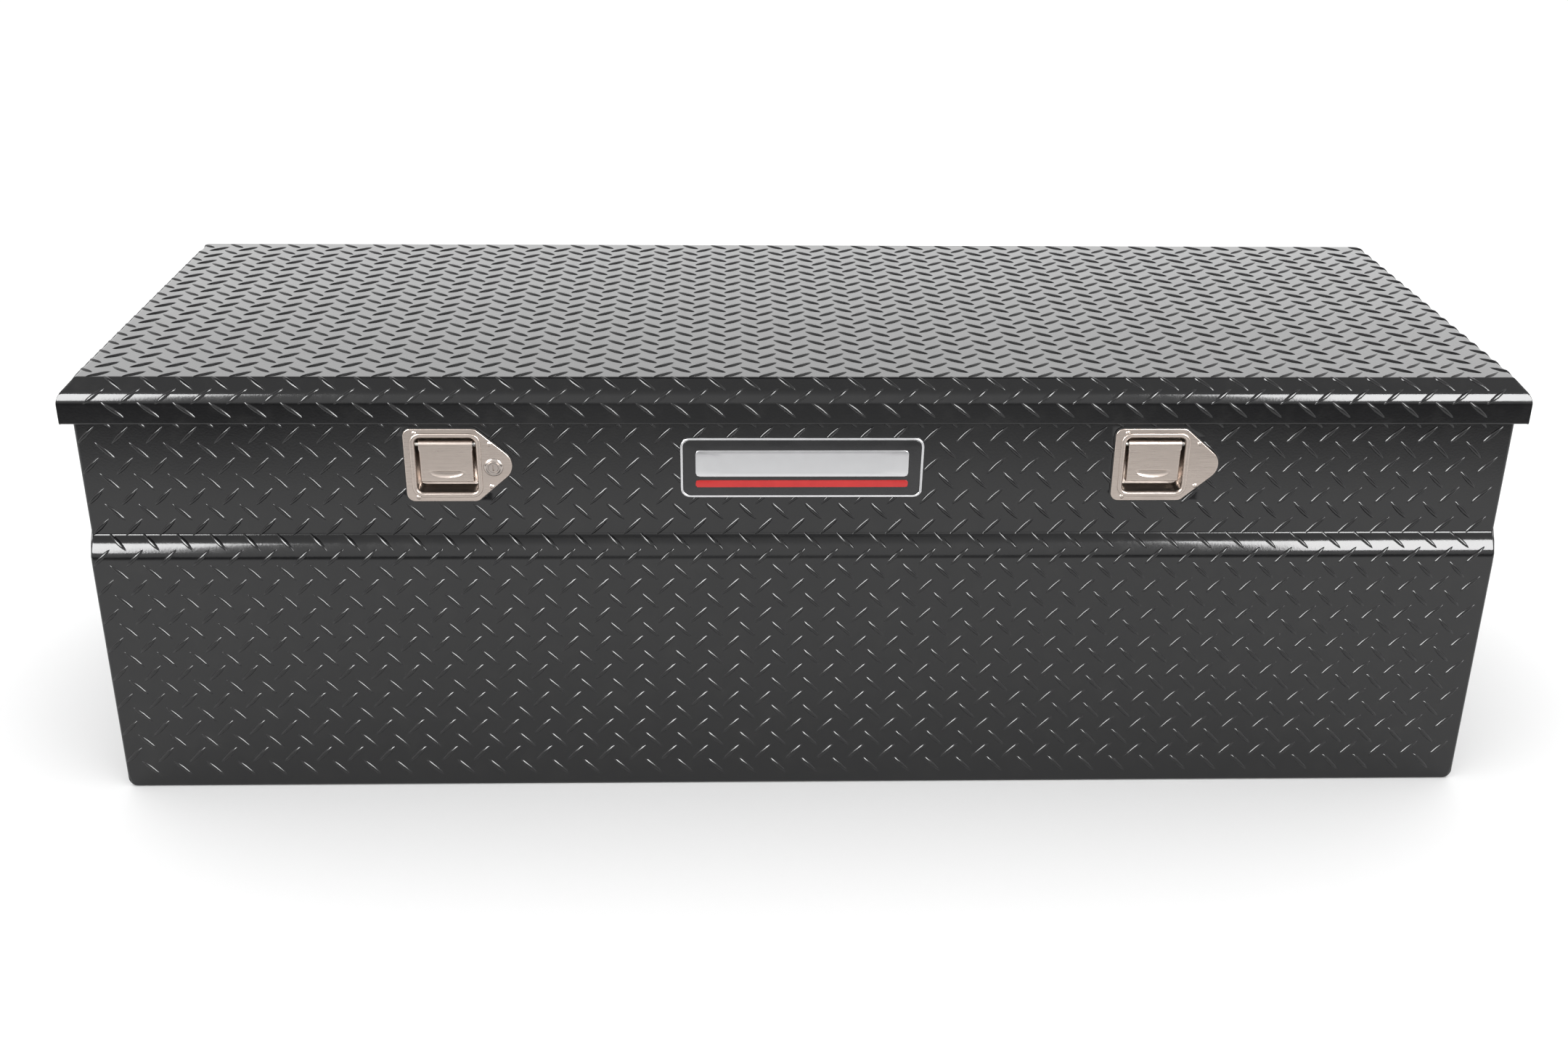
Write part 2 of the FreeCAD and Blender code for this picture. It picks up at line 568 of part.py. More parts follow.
# ---------------------------------------------------------------- key lock
def lock_housing():
    x, z = lock_centre()
    face = Y_UPPER - GASKET - PLATE
    collar = Part.makeCone(8.6, 10.2, 2.4, V(x, face - 2.4, z), V(0, 1, 0))
    barrel = Part.makeCylinder(7.0, Y_UPPER + 24 - face, V(x, face, z), V(0, 1, 0))
    return collar.fuse(barrel).cut(rod((x, Y_UPPER, z), (0, 1, 0), 5.0 + FIT, 80))


def lock_plug():
    """Round plug with a key slot in its face."""
    x, z = lock_centre()
    front = Y_UPPER - GASKET - PLATE - 2.0
    plug = Part.makeCylinder(5.0, Y_UPPER + 24.2 - front, V(x, front, z), V(0, 1, 0))
    square = box(x - 2.5, x + 2.5, Y_UPPER + 24.2, Y_UPPER + 27, z - 2.5, z + 2.5)
    return plug.fuse(square).cut(box(x - 0.7, x + 0.7, front - 1, front + 12, z - 3.4, z + 3.4))


def lock_cam():
    """Flat cam on the plug's square, hanging down while unlocked."""
    x, z = lock_centre()
    arm = rounded_plate(x - 6, x + 6, z - 38, z + 7, 4, Y_UPPER + 24.2, Y_UPPER + 26.2)
    return arm.cut(box(x - 2.5, x + 2.5, Y_UPPER + 20, Y_UPPER + 30, z - 2.5, z + 2.5))


def lock_nut():
    x, z = lock_centre()
    back, across = Y_UPPER + 2 * SHEET, 10.4
    corners = [V(x + across * math.cos(k * math.pi / 3), back, z + across * math.sin(k * math.pi / 3))
               for k in range(7)]
    nut = Part.Face(Part.makePolygon(corners)).extrude(V(0, 4, 0))
    return nut.cut(rod((x, Y_UPPER, z), (0, 1, 0), 7.0 + FIT, 60))


# ---------------------------------------------------------------- badge
def badge_outline(grow, y0, y1):
    half, tall = BADGE_W / 2 + grow, BADGE_H / 2 + grow
    return rounded_plate(-half, half, BADGE_Z - tall, BADGE_Z + tall, BADGE_CORNER + grow, y0, y1)


def badge_plate():
    return badge_outline(0.0, Y_UPPER - 2.4, Y_UPPER)


def badge_trim():
    return badge_outline(BADGE_RING, Y_UPPER - 3.2, Y_UPPER).cut(badge_outline(0.0, Y_UPPER - 5, Y_UPPER + 1))


# ---------------------------------------------------------------- gas struts, right-hand side
FOOT = V(STRUT_X, Y_AXIS + STRUT_FOOT[0], Z_AXIS + STRUT_FOOT[1])
HEAD = V(STRUT_X, Y_AXIS + STRUT_HEAD[0], Z_AXIS + STRUT_HEAD[1])
CLOSED = (HEAD - FOOT).Length
WAY = (HEAD - FOOT).normalize()
INSIDE_END = HALF_BODY - SHEET
SCREW_Z = (-13.0, 13.0)


def along(distance):
    return FOOT + WAY * distance


def strut_body_bracket():
    """Top-hat bracket on the inside of the end panel, carrying the lower ball stud."""
    plate = box(INSIDE_END - 3, INSIDE_END, FOOT.y - 14, FOOT.y + 14, FOOT.z - 20, FOOT.z + 20)
    boss = Part.makeCylinder(8, 12, V(INSIDE_END - 15, FOOT.y, FOOT.z), V(1, 0, 0))
    stud = rod((INSIDE_END - 10, FOOT.y, FOOT.z), (1, 0, 0), 4.02, 22)
    return cut_all(plate.fuse(boss).cut(stud), strut_screw_holes())


def strut_screw_holes():
    return [rod((INSIDE_END, FOOT.y, FOOT.z + dz), (1, 0, 0), 2.05, 12) for dz in SCREW_Z]


def strut_body_screws():
    """Button-head screws through the end panels into the strut brackets."""
    made = []
    for dz in SCREW_Z:
        at = V(HALF_BODY, FOOT.y, FOOT.z + dz)
        shank = Part.makeCylinder(2.0, SHEET + 6, at, V(-1, 0, 0))
        head = Part.makeCone(4.0, 2.6, 2.0, at, V(1, 0, 0))
        nut = Part.makeCylinder(3.6, 3.0, V(INSIDE_END - 3, at.y, at.z), V(-1, 0, 0))
        made.append(shank.fuse([head, nut]))
    return Part.makeCompound(made + [mirrored(s) for s in made])


def strut_body_stud():
    """Ball with a small flat, on a shank that lies in the bracket's boss."""
    shank = Part.makeCylinder(4.0, INSIDE_END - 1 - STRUT_X, FOOT, V(1, 0, 0))
    flat = -math.degrees(math.asin(BALL_FLAT / BALL_R))
    return Part.makeSphere(BALL_R, FOOT, V(1, 0, 0), flat, 90.0, 360.0).fuse(shank).removeSplitter()


def end_socket(centre, reach, bore):
    """Moulded socket at a strut's end: a round housing across the strut and a neck along it."""
    housing = rod(tuple(centre), (1, 0, 0), 8.5, 11)
    stop = centre + WAY * reach
    neck = Part.makeCylinder(6.0, abs(reach), centre if reach > 0 else stop, WAY)
    shape = housing.fuse(neck)
    return shape.cut(rod(tuple(centre), (1, 0, 0), bore, 30)) if bore else shape


def strut_cylinder_socket():
    return end_socket(FOOT, 15.0, BALL_R + FIT)


def strut_cylinder():
    """Pressure tube from the lower socket to its rolled end, with the rod's guide."""
    start, length = 15.0, CLOSED - 15.0 - 24.0
    tube_body = Part.makeCylinder(TUBE_R, length, along(start), WAY)
    bore = Part.makeCylinder(PISTON_R + 0.1, length - 6.0, along(start + 3.0), WAY)
    guide = Part.makeCylinder(ROD_R + FIT, length + 10, along(start + 3.0), WAY)
    rolled = [e for e in tube_body.Edges if e.Closed]
    return tube_body.makeFillet(1.5, rolled).cut(bore).cut(guide)


def strut_rod():
    """Polished rod with its piston inside the tube."""
    bottom, top = 20.0, CLOSED - 15.0
    shaft = Part.makeCylinder(ROD_R, top - bottom, along(bottom), WAY)
    piston = Part.makeCylinder(PISTON_R, 8.0, along(bottom), WAY)
    return shaft.fuse(piston)


def strut_rod_socket():
    return end_socket(HEAD, -15.0, 0.0)


def strut_lid_bracket():
    """Angle bracket under the lid, its upright outside the socket."""
    x0, x1 = STRUT_X + 12, STRUT_X + 15
    base = box(x1 - 27, x1, HEAD.y - 18, HEAD.y + 18, LID_UNDER - 3, LID_UNDER)
    upright = box(x0, x1, HEAD.y - 11, HEAD.y + 11, HEAD.z - 9, LID_UNDER - 3)
    stud = rod((x1, HEAD.y, HEAD.z), (1, 0, 0), 4.02, 20)
    return base.fuse(upright).cut(stud).cut(Part.makeCompound(stud_holes(strut_studs())))


def strut_lid_stud():
    """Upper ball stud. It stops just short of the rod's socket: the pair is the linkage's open pivot."""
    x0 = STRUT_X + 5.5 + 0.6
    shank = Part.makeCylinder(4.0, STRUT_X + 16 - x0, V(x0, HEAD.y, HEAD.z), V(1, 0, 0))
    return shank


def strut_studs():
    return [(STRUT_X + 15 - 20, HEAD.y + s * 13) for s in (-1, 1)]


def strut_lid_nuts():
    spots = strut_studs()
    return weld_studs(spots + [(-x, y) for x, y in spots])


# ---------------------------------------------------------------- all nodes
def nodes():
    front, rear = front_panel(), rear_panel()
    made = {
        "front_panel": front, "rear_panel": rear, "left_end_panel": left_end_panel(front, rear),
        "floor_panel": floor_panel(), "lid_seal": lid_seal(), "lid_skin": lid_skin(),
        "lid_front_channel": lid_channel(Y_UPPER + 92), "lid_middle_channel": lid_channel(20.0),
        "lid_rear_channel": lid_channel(205.0),
        "hinge_body_leaf": hinge_leaf(-1, 0), "hinge_lid_leaf": hinge_leaf(1, 1),
        "hinge_pin": rod((0, Y_AXIS, Z_AXIS), (1, 0, 0), HINGE_PIN_R, HINGE_LENGTH + 2),
        "hinge_body_rivets": hinge_rivets(BODY_RIVET_Z), "hinge_lid_rivets": hinge_rivets(LID_RIVET_Z),
        "latch_rivets": latch_rivets(), "striker_pins": striker_pins(),
        "striker_nuts": weld_studs(striker_studs()), "lock_housing": lock_housing(),
        "lock_plug": lock_plug(), "lock_cam": lock_cam(), "lock_nut": lock_nut(),
        "badge_plate": badge_plate(), "badge_trim": badge_trim(),
        "strut_body_screws": strut_body_screws(), "strut_lid_nuts": strut_lid_nuts(),
    }
    made["right_end_panel"] = mirrored(made["left_end_panel"])
    for side, x in (("left", -LATCH_X), ("right", LATCH_X)):
        locked = side == "left"
        made[side + "_latch_gasket"] = latch_gasket(x, locked)
        made[side + "_latch_pan"] = latch_pan(x, locked)
        made[side + "_paddle"] = paddle(x)
        made[side + "_latch_backing_plate"] = latch_backing_plate(x, locked)
        made[side + "_latch_bracket"] = latch_bracket(x)
        made[side + "_hook"] = hook(x)
        made[side + "_hook_spring"] = hook_spring(x)
        made[side + "_striker_bracket"] = striker_bracket(x)
    pairs = (("paddle_pins", paddle_pin), ("paddle_springs", paddle_spring), ("hook_pins", hook_pin))
    for name, one in pairs:
        made[name] = Part.makeCompound([one(-LATCH_X), one(LATCH_X)])
    for one in (strut_body_bracket, strut_body_stud, strut_cylinder_socket, strut_cylinder, strut_rod,
                strut_rod_socket, strut_lid_bracket):
        made["right_" + one.__name__] = one()
        made["left_" + one.__name__] = mirrored(one())
    stud = strut_lid_stud()
    made["strut_lid_studs"] = Part.makeCompound([stud, mirrored(stud)])
    return made


os.makedirs("parts", exist_ok=True)
for name, shape in nodes().items():
    solids = shape.Solids
    kept = solids[0] if len(solids) == 1 else Part.makeCompound(solids)
    kept.exportStep("parts/%s.step" % name)
    print("%-26s solids %2d volume %10.1f valid %s" % (name, len(solids), kept.Volume, kept.isValid()))
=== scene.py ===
import json
import math
import bmesh
import bpy
import numpy as np
from mathutils import Matrix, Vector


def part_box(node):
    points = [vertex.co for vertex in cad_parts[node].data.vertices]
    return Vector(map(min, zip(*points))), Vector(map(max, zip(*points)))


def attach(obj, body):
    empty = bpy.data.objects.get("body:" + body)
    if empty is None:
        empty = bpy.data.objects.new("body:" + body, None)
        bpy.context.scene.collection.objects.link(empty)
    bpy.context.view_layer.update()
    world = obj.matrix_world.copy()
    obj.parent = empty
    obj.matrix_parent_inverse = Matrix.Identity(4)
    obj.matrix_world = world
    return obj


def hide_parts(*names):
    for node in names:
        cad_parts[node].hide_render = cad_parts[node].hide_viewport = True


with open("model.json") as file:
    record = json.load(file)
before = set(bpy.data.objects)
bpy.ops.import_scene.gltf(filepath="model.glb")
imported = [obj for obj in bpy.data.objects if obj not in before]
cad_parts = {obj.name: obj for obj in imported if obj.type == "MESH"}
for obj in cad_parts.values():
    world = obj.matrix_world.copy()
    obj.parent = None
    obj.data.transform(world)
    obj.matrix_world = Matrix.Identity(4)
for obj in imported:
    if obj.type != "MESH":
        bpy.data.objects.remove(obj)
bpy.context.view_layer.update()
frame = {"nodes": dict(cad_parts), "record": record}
mm = 0.001
near = 0.8 * mm  # how far from a bend's edge the last row of a flat lies

# planes and centres that the pieces share, all read from the frame
lidLow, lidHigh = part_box("lid_skin")
frontLow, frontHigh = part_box("front_panel")
_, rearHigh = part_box("rear_panel")
_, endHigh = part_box("right_end_panel")
badgeLow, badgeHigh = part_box("badge_plate")
frontFace = badgeHigh.y  # face of the upper front panel
halfBody = frontHigh.x
jointAt = {joint["name"]: joint.get("pos_m") for joint in frame["record"]["behaviour"]["joints"]}
hingeZ = jointAt["lid_hinge"][2]
latchX = jointAt["right_paddle_pull"][0]
latchZ = 0.386  # height of the middle of both latches
print("frame loaded:", len(frame["nodes"]), "nodes")


def gridFaces(rows, columns, closed=False):
    # quads between neighbours of a grid of points that are counted row by row
    index = np.arange(rows * columns).reshape(rows, columns)
    if closed:
        index = np.hstack([index, index[:, :1]])
    quads = [index[:-1, :-1], index[:-1, 1:], index[1:, 1:], index[1:, :-1]]
    return np.stack(quads, axis=-1).reshape(-1, 4)


def addPiece(name, shape, body, paint, instead=(), wall=0.0, smooth=35.0, weld=1e-5,
             even=True, lining=None):
    # puts points and faces into a mesh, welds its seams, shades it smooth up to an angle, and
    # gives a sheet its wall towards the inside, with a lining of its own. A closed piece has its
    # faces turned outwards.
    points, faces = shape
    mesh = bpy.data.meshes.new(name)
    mesh.from_pydata(np.asarray(points).reshape(-1, 3).tolist(), [], [list(face) for face in faces])
    if weld:
        work = bmesh.new()
        work.from_mesh(mesh)
        bmesh.ops.remove_doubles(work, verts=work.verts, dist=weld)
        bmesh.ops.dissolve_degenerate(work, edges=work.edges, dist=weld)
        loose = [vertex for vertex in work.verts if not vertex.link_faces]
        bmesh.ops.delete(work, geom=loose, context="VERTS")
        if not wall:
            bmesh.ops.recalc_face_normals(work, faces=work.faces)
        work.to_mesh(mesh)
        work.free()
    mesh.polygons.foreach_set("use_smooth", np.ones(len(mesh.polygons), bool))
    mesh.set_sharp_from_angle(angle=math.radians(smooth))
    mesh.materials.append(paint)
    piece = bpy.data.objects.new(name, mesh)
    bpy.context.scene.collection.objects.link(piece)
    if wall:
        thick = piece.modifiers.new("wall", "SOLIDIFY")
        thick.thickness = wall
        thick.offset = -1.0
        thick.use_even_offset = even
        if lining:
            mesh.materials.append(lining)
            thick.material_offset = 1
    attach(piece, body)
    if instead:
        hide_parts(*instead)
    return piece


def unit(vectors):
    # each vector over its own length
    return vectors / np.linalg.norm(vectors, axis=-1, keepdims=True)


def straight(begin, end, spacing):
    # points in even steps from begin to end, and one more close to each end of a long run
    span = np.linalg.norm(end - begin)
    steps = np.linspace(0, 1, max(2, round(span / spacing) + 1))
    if span > 4 * near:
        steps = np.unique(np.concatenate([steps, [near / span, 1 - near / span]]))
    return begin + (end - begin) * steps[:, None]


def bentRun(corners, radii, spacing=12 * mm, perBend=8):
    # a line through the corners with an arc at each: straight runs are cut every spacing and once
    # just beside each arc, and in an arc the direction turns evenly. Gives each point's length
    # along the line, its place, and the normal on its right-hand side.
    corners = np.asarray(corners, float)
    ways = unit(np.diff(corners, axis=0))
    places, normals = [], []
    begin = corners[0]
    for corner, radius, one, two in zip(corners[1:-1], radii, ways, ways[1:]):
        turn = math.atan2(one[0] * two[1] - one[1] * two[0], one @ two)
        cut = radius * math.tan(abs(turn) / 2)
        places.append(straight(begin, corner - one * cut, spacing))
        normals.append(np.tile([one[1], -one[0]], (len(places[-1]), 1)))
        angle = np.linspace(0, turn, perBend + 1)[1:-1]
        side = np.array([-one[1], one[0]]) * math.copysign(radius, turn)
        centre = corner - one * cut + side
        spoke = np.stack([-side[0] * np.cos(angle) + side[1] * np.sin(angle),
                          -side[0] * np.sin(angle) - side[1] * np.cos(angle)], -1)
        places.append(centre + spoke)
        normals.append(math.copysign(1, turn) * spoke / radius)
        begin = corner + two * cut
    places.append(straight(begin, corners[-1], spacing))
    normals.append(np.tile([ways[-1][1], -ways[-1][0]], (len(places[-1]), 1)))
    places = np.vstack(places)
    steps = np.linalg.norm(np.diff(places, axis=0), axis=1)
    return np.concatenate([[0.0], np.cumsum(steps)]), places, np.vstack(normals)


def along(run, at):
    # place and normal at given lengths along a run, in proportion between its points
    length, places, normals = run
    spots = [np.interp(at, length, places[:, k]) for k in (0, 1)]
    sides = unit(np.stack([np.interp(at, length, normals[:, k]) for k in (0, 1)], -1))
    return spots[0], spots[1], sides[..., 0], sides[..., 1]


def lengthAt(run, z):
    # length along a run where its outer face first comes down to a height
    length, places, _ = run
    below = np.nonzero((places[1:, 1] < z) & (places[:-1, 1] >= z))[0][-1]
    part = (places[below, 1] - z) / (places[below, 1] - places[below + 1, 1])
    return length[below] + part * (length[below + 1] - length[below])


def sheetShape(across, down, place, holes=()):
    # a folded sheet: every pair of flat coordinates goes through the fold. holes lists rectangles
    # (across from, to, down from, to) that are left out.
    flatX, flatS = np.meshgrid(across, down, indexing="ij")
    points, normals = place(flatX, flatS)
    quads = gridFaces(*flatX.shape)
    corners = points.reshape(-1, 3)[quads]
    facing = np.cross(corners[:, 2] - corners[:, 0], corners[:, 3] - corners[:, 1])
    if np.sum(facing * normals.reshape(-1, 3)[quads[:, 0]]) < 0:
        quads = quads[:, ::-1]
    middleX = flatX.ravel()[quads].mean(1)
    middleS = flatS.ravel()[quads].mean(1)
    kept = np.ones(len(quads), bool)
    for x0, x1, s0, s1 in holes:
        kept &= ~((middleX > x0) & (middleX < x1) & (middleS > s0) & (middleS < s1))
    return points, quads[kept]


lugs = {
    "long": 28.5 * mm,
    "wide": 5.3 * mm,
    "high": 1.5 * mm,
    "sunk": 0.2 * mm,  # how deep the outer ring lies in the sheet
    "sides": 12,
    "rings": (1.0, 0.8, 0.45),  # size of each ring, as a part of the outer one
    "climb": 3.6,  # more makes the top flatter
    "taper": 0.3,  # more makes the ends thinner
    "reach": 60,  # rows counted each way from the first lug
}


def lugShape():
    # a flat-topped dome on a pointed oval: rings shrink towards a crest point, and height falls
    # as a power of the distance from it
    sides, levels = lugs["sides"], len(lugs["rings"])
    turn = np.arange(sides) * math.tau / sides
    ring = np.array(lugs["rings"])[:, None]
    x = ring * np.cos(turn) * lugs["long"] / 2
    y = ring * np.sin(turn) * (1 - lugs["taper"] * np.cos(turn) ** 2) * lugs["wide"] / 2
    high = lugs["high"] * (1 - ring ** lugs["climb"]) * np.ones_like(turn)
    high[0] = -lugs["sunk"]
    points = np.stack([x.ravel(), y.ravel(), high.ravel()], -1)
    points = np.vstack([points, [0, 0, lugs["high"]]])
    crest = levels * sides
    inner = crest - sides
    tips = [[inner + k, inner + (k + 1) % sides, crest] for k in range(sides)]
    base = list(range(sides))[::-1]
    return points, gridFaces(levels, sides, closed=True).tolist() + tips + [base]


def lugField(place, width, depth, pitch, start, lean, clear):
    # lugs in a checkerboard, leaning left and right by turns. clear says which of their flat points
    # are off the sheet or under a fitting: a lug with any such point is left out.
    rows = np.arange(-lugs["reach"], lugs["reach"] + 1)
    found = []
    for shift, way in ((0.0, 1.0), (0.5, -1.0)):
        x, s = np.meshgrid(start[0] + (rows + shift) * pitch[0], start[1] + (rows + shift) * pitch[1])
        found.append(np.stack([x.ravel(), s.ravel(), np.full(x.size, way)], -1))
    spots = np.vstack(found)
    spots = spots[(spots[:, 0] > width[0]) & (spots[:, 0] < width[1])
                  & (spots[:, 1] > depth[0]) & (spots[:, 1] < depth[1])]
    shape, faces = lugShape()
    ahead, aside = math.cos(math.radians(lean)), math.sin(math.radians(lean))
    way = spots[:, 2:]
    x = spots[:, :1] + shape[:, 0] * ahead - way * shape[:, 1] * aside
    s = spots[:, 1:2] + way * shape[:, 0] * aside + shape[:, 1] * ahead
    kept = ~clear(x, s).any(1)
    x, s = x[kept], s[kept]
    points, normals = place(x, s)
    points = points + normals * shape[:, 2][None, :, None]
    faces = np.array([face + face[-1:] * (lugs["sides"] - len(face)) for face in faces])
    every = (faces[None] + np.arange(len(x))[:, None, None] * len(shape)).reshape(-1, lugs["sides"])
    polygons = [list(dict.fromkeys(face)) for face in every.tolist()]
    first = points[0]
    outward = np.cross(first[1] - first[0], first[-1] - first[0]) @ normals[0, 0]
    if outward < 0:
        polygons = [face[::-1] for face in polygons]
    return points.reshape(-1, 3), polygons


class Field:
    # a socket of a material: sums and products of fields add the Math nodes that work them out
    def __init__(self, paint, socket):
        self.paint = paint
        self.socket = socket

    def worked(self, operation, first, second=0.0):
        return self.paint.node("ShaderNodeMath", {"operation": operation}, {0: first, 1: second})

    def __add__(self, other):
        return self.worked("ADD", self, other)

    def __sub__(self, other):
        return self.worked("SUBTRACT", self, other)

    def __rsub__(self, other):
        return self.worked("SUBTRACT", other, self)

    def __mul__(self, other):
        return self.worked("MULTIPLY", self, other)

    def __abs__(self):
        return self.worked("ABSOLUTE", self)

    __radd__ = __add__
    __rmul__ = __mul__


class Paint:
    # the nodes of one material or sky: fixed values go straight on its shader, fields are linked
    def __init__(self, owner, shader="Principled BSDF"):
        self.owner = owner
        owner.use_nodes = True
        self.tree = owner.node_tree
        self.shader = self.tree.nodes[shader]

    def put(self, socket, value):
        # links a field or sets a fixed value, and a colour gets its alpha
        if isinstance(value, Field):
            self.tree.links.new(value.socket, socket)
        elif socket.type == "RGBA":
            socket.default_value = (*value, 1.0)
        else:
            socket.default_value = value

    def node(self, kind, settings={}, inputs={}, output=0):
        # any node: its settings first, then the values or links of its sockets
        made = self.tree.nodes.new(kind)
        for name, value in settings.items():
            if name == "stops":
                stops = made.color_ramp.elements
                for place, _ in value[2:]:
                    stops.new(place)
                for stop, (place, shade) in zip(stops, value):
                    stop.position = place
                    stop.color = (shade, shade, shade, 1.0)
            else:
                setattr(made, name, value)
        for name, value in inputs.items():
            self.put(made.inputs[name], value)
        return Field(self, made.outputs[output])

    def place(self, stretch=(1, 1, 1)):
        # the point of the object, each axis times its stretch
        spot = self.node("ShaderNodeTexCoord", output=3)
        return self.node("ShaderNodeMapping", {}, {"Vector": spot, "Scale": stretch})

    def noise(self, scale, detail, stretch=(1, 1, 1), rough=0.5):
        # smooth noise with scale cells to a metre
        values = {"Vector": self.place(stretch), "Scale": scale, "Detail": detail, "Roughness": rough}
        return self.node("ShaderNodeTexNoise", {}, values)

    def ramp(self, value, *stops):
        # greys between stops of (value, grey)
        return self.node("ShaderNodeValToRGB", {"stops": stops}, {"Fac": value})

    def mix(self, amount, first, second):
        # from the first colour to the second as amount goes from 0 to 1
        values = {0: amount, 6: first, 7: second}
        return self.node("ShaderNodeMix", {"data_type": "RGBA"}, values, output=2)

    def bump(self, height, distance, under=None):
        # the normal of a surface raised by height times distance
        values = {"Height": height, "Strength": 1.0, "Distance": distance}
        if under:
            values["Normal"] = under
        return self.node("ShaderNodeBump", {}, values)

    def finish(self, values):
        # puts values on the shader's own sockets
        for name, value in values.items():
            self.put(self.shader.inputs[name], value)
        return self.owner


def newPaint(name):
    # an empty material, ready for its nodes
    return Paint(bpy.data.materials.new(name))


def darker(colour, share):
    # the same hue with each channel times share
    return [share * channel for channel in colour]


treadCoat = {
    "clean": (0.0045, 0.0045, 0.005),
    "dusty": (0.014, 0.0135, 0.013),
    "dust": 0.5,  # how far the colour goes from clean to dusty
    "dustScale": 38.0,
    "dustStops": ((0.5, 0.0), (0.8, 1.0)),
    "dustDull": 0.07,  # roughness that the dust adds
    "cloudScale": 7.0,
    "cloudDull": 0.05,
    "gloss": 0.09,
    "waveScale": 5.0,
    "waveDeep": 1.1 * mm,
    "peelScale": 420.0,
    "peelDeep": 0.03 * mm,
}


def blackTreadPaint():
    # gloss powder coat: colour goes from clean to dusty where slow noise is high, roughness is the
    # gloss and shares of cloud and dust, and orange peel lies on a slow waviness of the sheet
    paint = newPaint("black_tread_paint")
    coat = treadCoat
    cloud = paint.noise(coat["cloudScale"], detail=4.0)
    dust = paint.ramp(paint.noise(coat["dustScale"], detail=5.0, rough=0.65), *coat["dustStops"])
    wave = paint.bump(paint.noise(coat["waveScale"], detail=1.0), coat["waveDeep"])
    peel = paint.bump(paint.noise(coat["peelScale"], detail=2.0), coat["peelDeep"], wave)
    return paint.finish({"Base Color": paint.mix(dust * coat["dust"], coat["clean"], coat["dusty"]),
                         "Roughness": coat["gloss"] + cloud * coat["cloudDull"] + dust * coat["dustDull"],
                         "Normal": peel,
                         "IOR": 1.5})


# both greys are painted light: lifted well above the outer coat to stand in for the light inside the
# chest
liftedLiningCoat = {"thin": (0.024, 0.024, 0.025), "thick": (0.046, 0.045, 0.044), "rough": 0.34, "cloud": 9.0,
              "grain": 520.0, "deep": 0.03 * mm}


def liningWithPaintedLight():
    # the same coat on the plain side of the sheet: less glossy, and greyer than the outer coat as painted
    # light, its greys lifted to stand in for the light that does not reach inside the chest; between two
    # greys by slow noise, with fine grain in its roughness and height
    paint = newPaint("inside_coat")
    coat = liftedLiningCoat
    cloud = paint.noise(coat["cloud"], detail=4.0)
    grain = paint.noise(coat["grain"], detail=3.0)
    return paint.finish({"Base Color": paint.mix(cloud, coat["thin"], coat["thick"]),
                         "Roughness": coat["rough"] + grain * 0.12,
                         "Normal": paint.bump(grain, coat["deep"])})


def satinMetal(name, colour, rough, deep):
    # brushed metal: noise stretched along one axis draws long fine scratches, and a second noise
    # lays soft smudges over them
    paint = newPaint(name)
    scratch = paint.noise(6.0, detail=3.0, stretch=(6, 260, 260), rough=0.6)
    smudge = paint.noise(45.0, detail=3.0)
    tone = paint.mix(paint.ramp(scratch, (0.3, 0.0), (0.7, 1.0)), darker(colour, 0.86), colour)
    tone = paint.mix(paint.ramp(smudge, (0.45, 0.0), (0.8, 1.0)) * 0.25, tone, darker(colour, 0.7))
    return paint.finish({"Base Color": tone,
                         "Metallic": 1.0,
                         "Roughness": rough + scratch * 0.12 + smudge * 0.06,
                         "Normal": paint.bump(scratch, deep)})


def zincPlate():
    # bright zinc: clouded colour, and a cell pattern in its roughness for the spangle
    paint = newPaint("zinc_plate")
    spangle = paint.node("ShaderNodeTexVoronoi", {}, {"Vector": paint.place(), "Scale": 260.0})
    cloud = paint.noise(60.0, detail=4.0)
    return paint.finish({"Base Color": paint.mix(cloud, (0.55, 0.56, 0.54), (0.70, 0.70, 0.66)),
                         "Metallic": 1.0,
                         "Roughness": 0.26 + spangle * 0.2 + cloud * 0.1,
                         "Normal": paint.bump(cloud, 0.05 * mm)})


def springWire():
    # drawn wire: one fine noise sets its grey, its roughness and its height
    paint = newPaint("spring_wire")
    drawn = paint.noise(300.0, detail=2.0)
    return paint.finish({"Base Color": paint.mix(drawn, (0.30, 0.30, 0.31), (0.46, 0.46, 0.46)),
                         "Metallic": 1.0,
                         "Roughness": 0.24 + drawn * 0.15,
                         "Normal": paint.bump(drawn, 0.02 * mm)})


def polishedChrome(name, colour, rough):
    # chrome: a faint haze darkens and dulls it, over very fine pits
    paint = newPaint(name)
    haze = paint.noise(90.0, detail=4.0)
    return paint.finish({"Base Color": paint.mix(haze, darker(colour, 0.9), colour),
                         "Metallic": 1.0,
                         "Roughness": rough + haze * 0.08,
                         "Normal": paint.bump(paint.noise(700.0, detail=2.0), 0.01 * mm)})


def sealRubber():
    # matt rubber: a grey bloom where slow noise is high, and a fine grain
    paint = newPaint("seal_rubber_matt")
    grain = paint.noise(500.0, detail=3.0)
    bloom = paint.ramp(paint.noise(25.0, detail=4.0), (0.5, 0.0), (0.85, 1.0))
    tone = paint.mix(bloom * 0.6, (0.012, 0.012, 0.012), (0.032, 0.031, 0.030))
    return paint.finish({"Base Color": tone,
                         "Roughness": 0.62 + grain * 0.2,
                         "Normal": paint.bump(grain, 0.05 * mm)})


def glossEnamel(name, colour, lift):
    # enamel: cloudy between two near colours, over a fine orange peel
    paint = newPaint(name)
    cloud = paint.noise(60.0, detail=3.0)
    return paint.finish({"Base Color": paint.mix(cloud, colour, lift),
                         "Roughness": 0.16 + cloud * 0.1,
                         "Normal": paint.bump(paint.noise(500.0, detail=2.0), 0.02 * mm),
                         "IOR": 1.5})


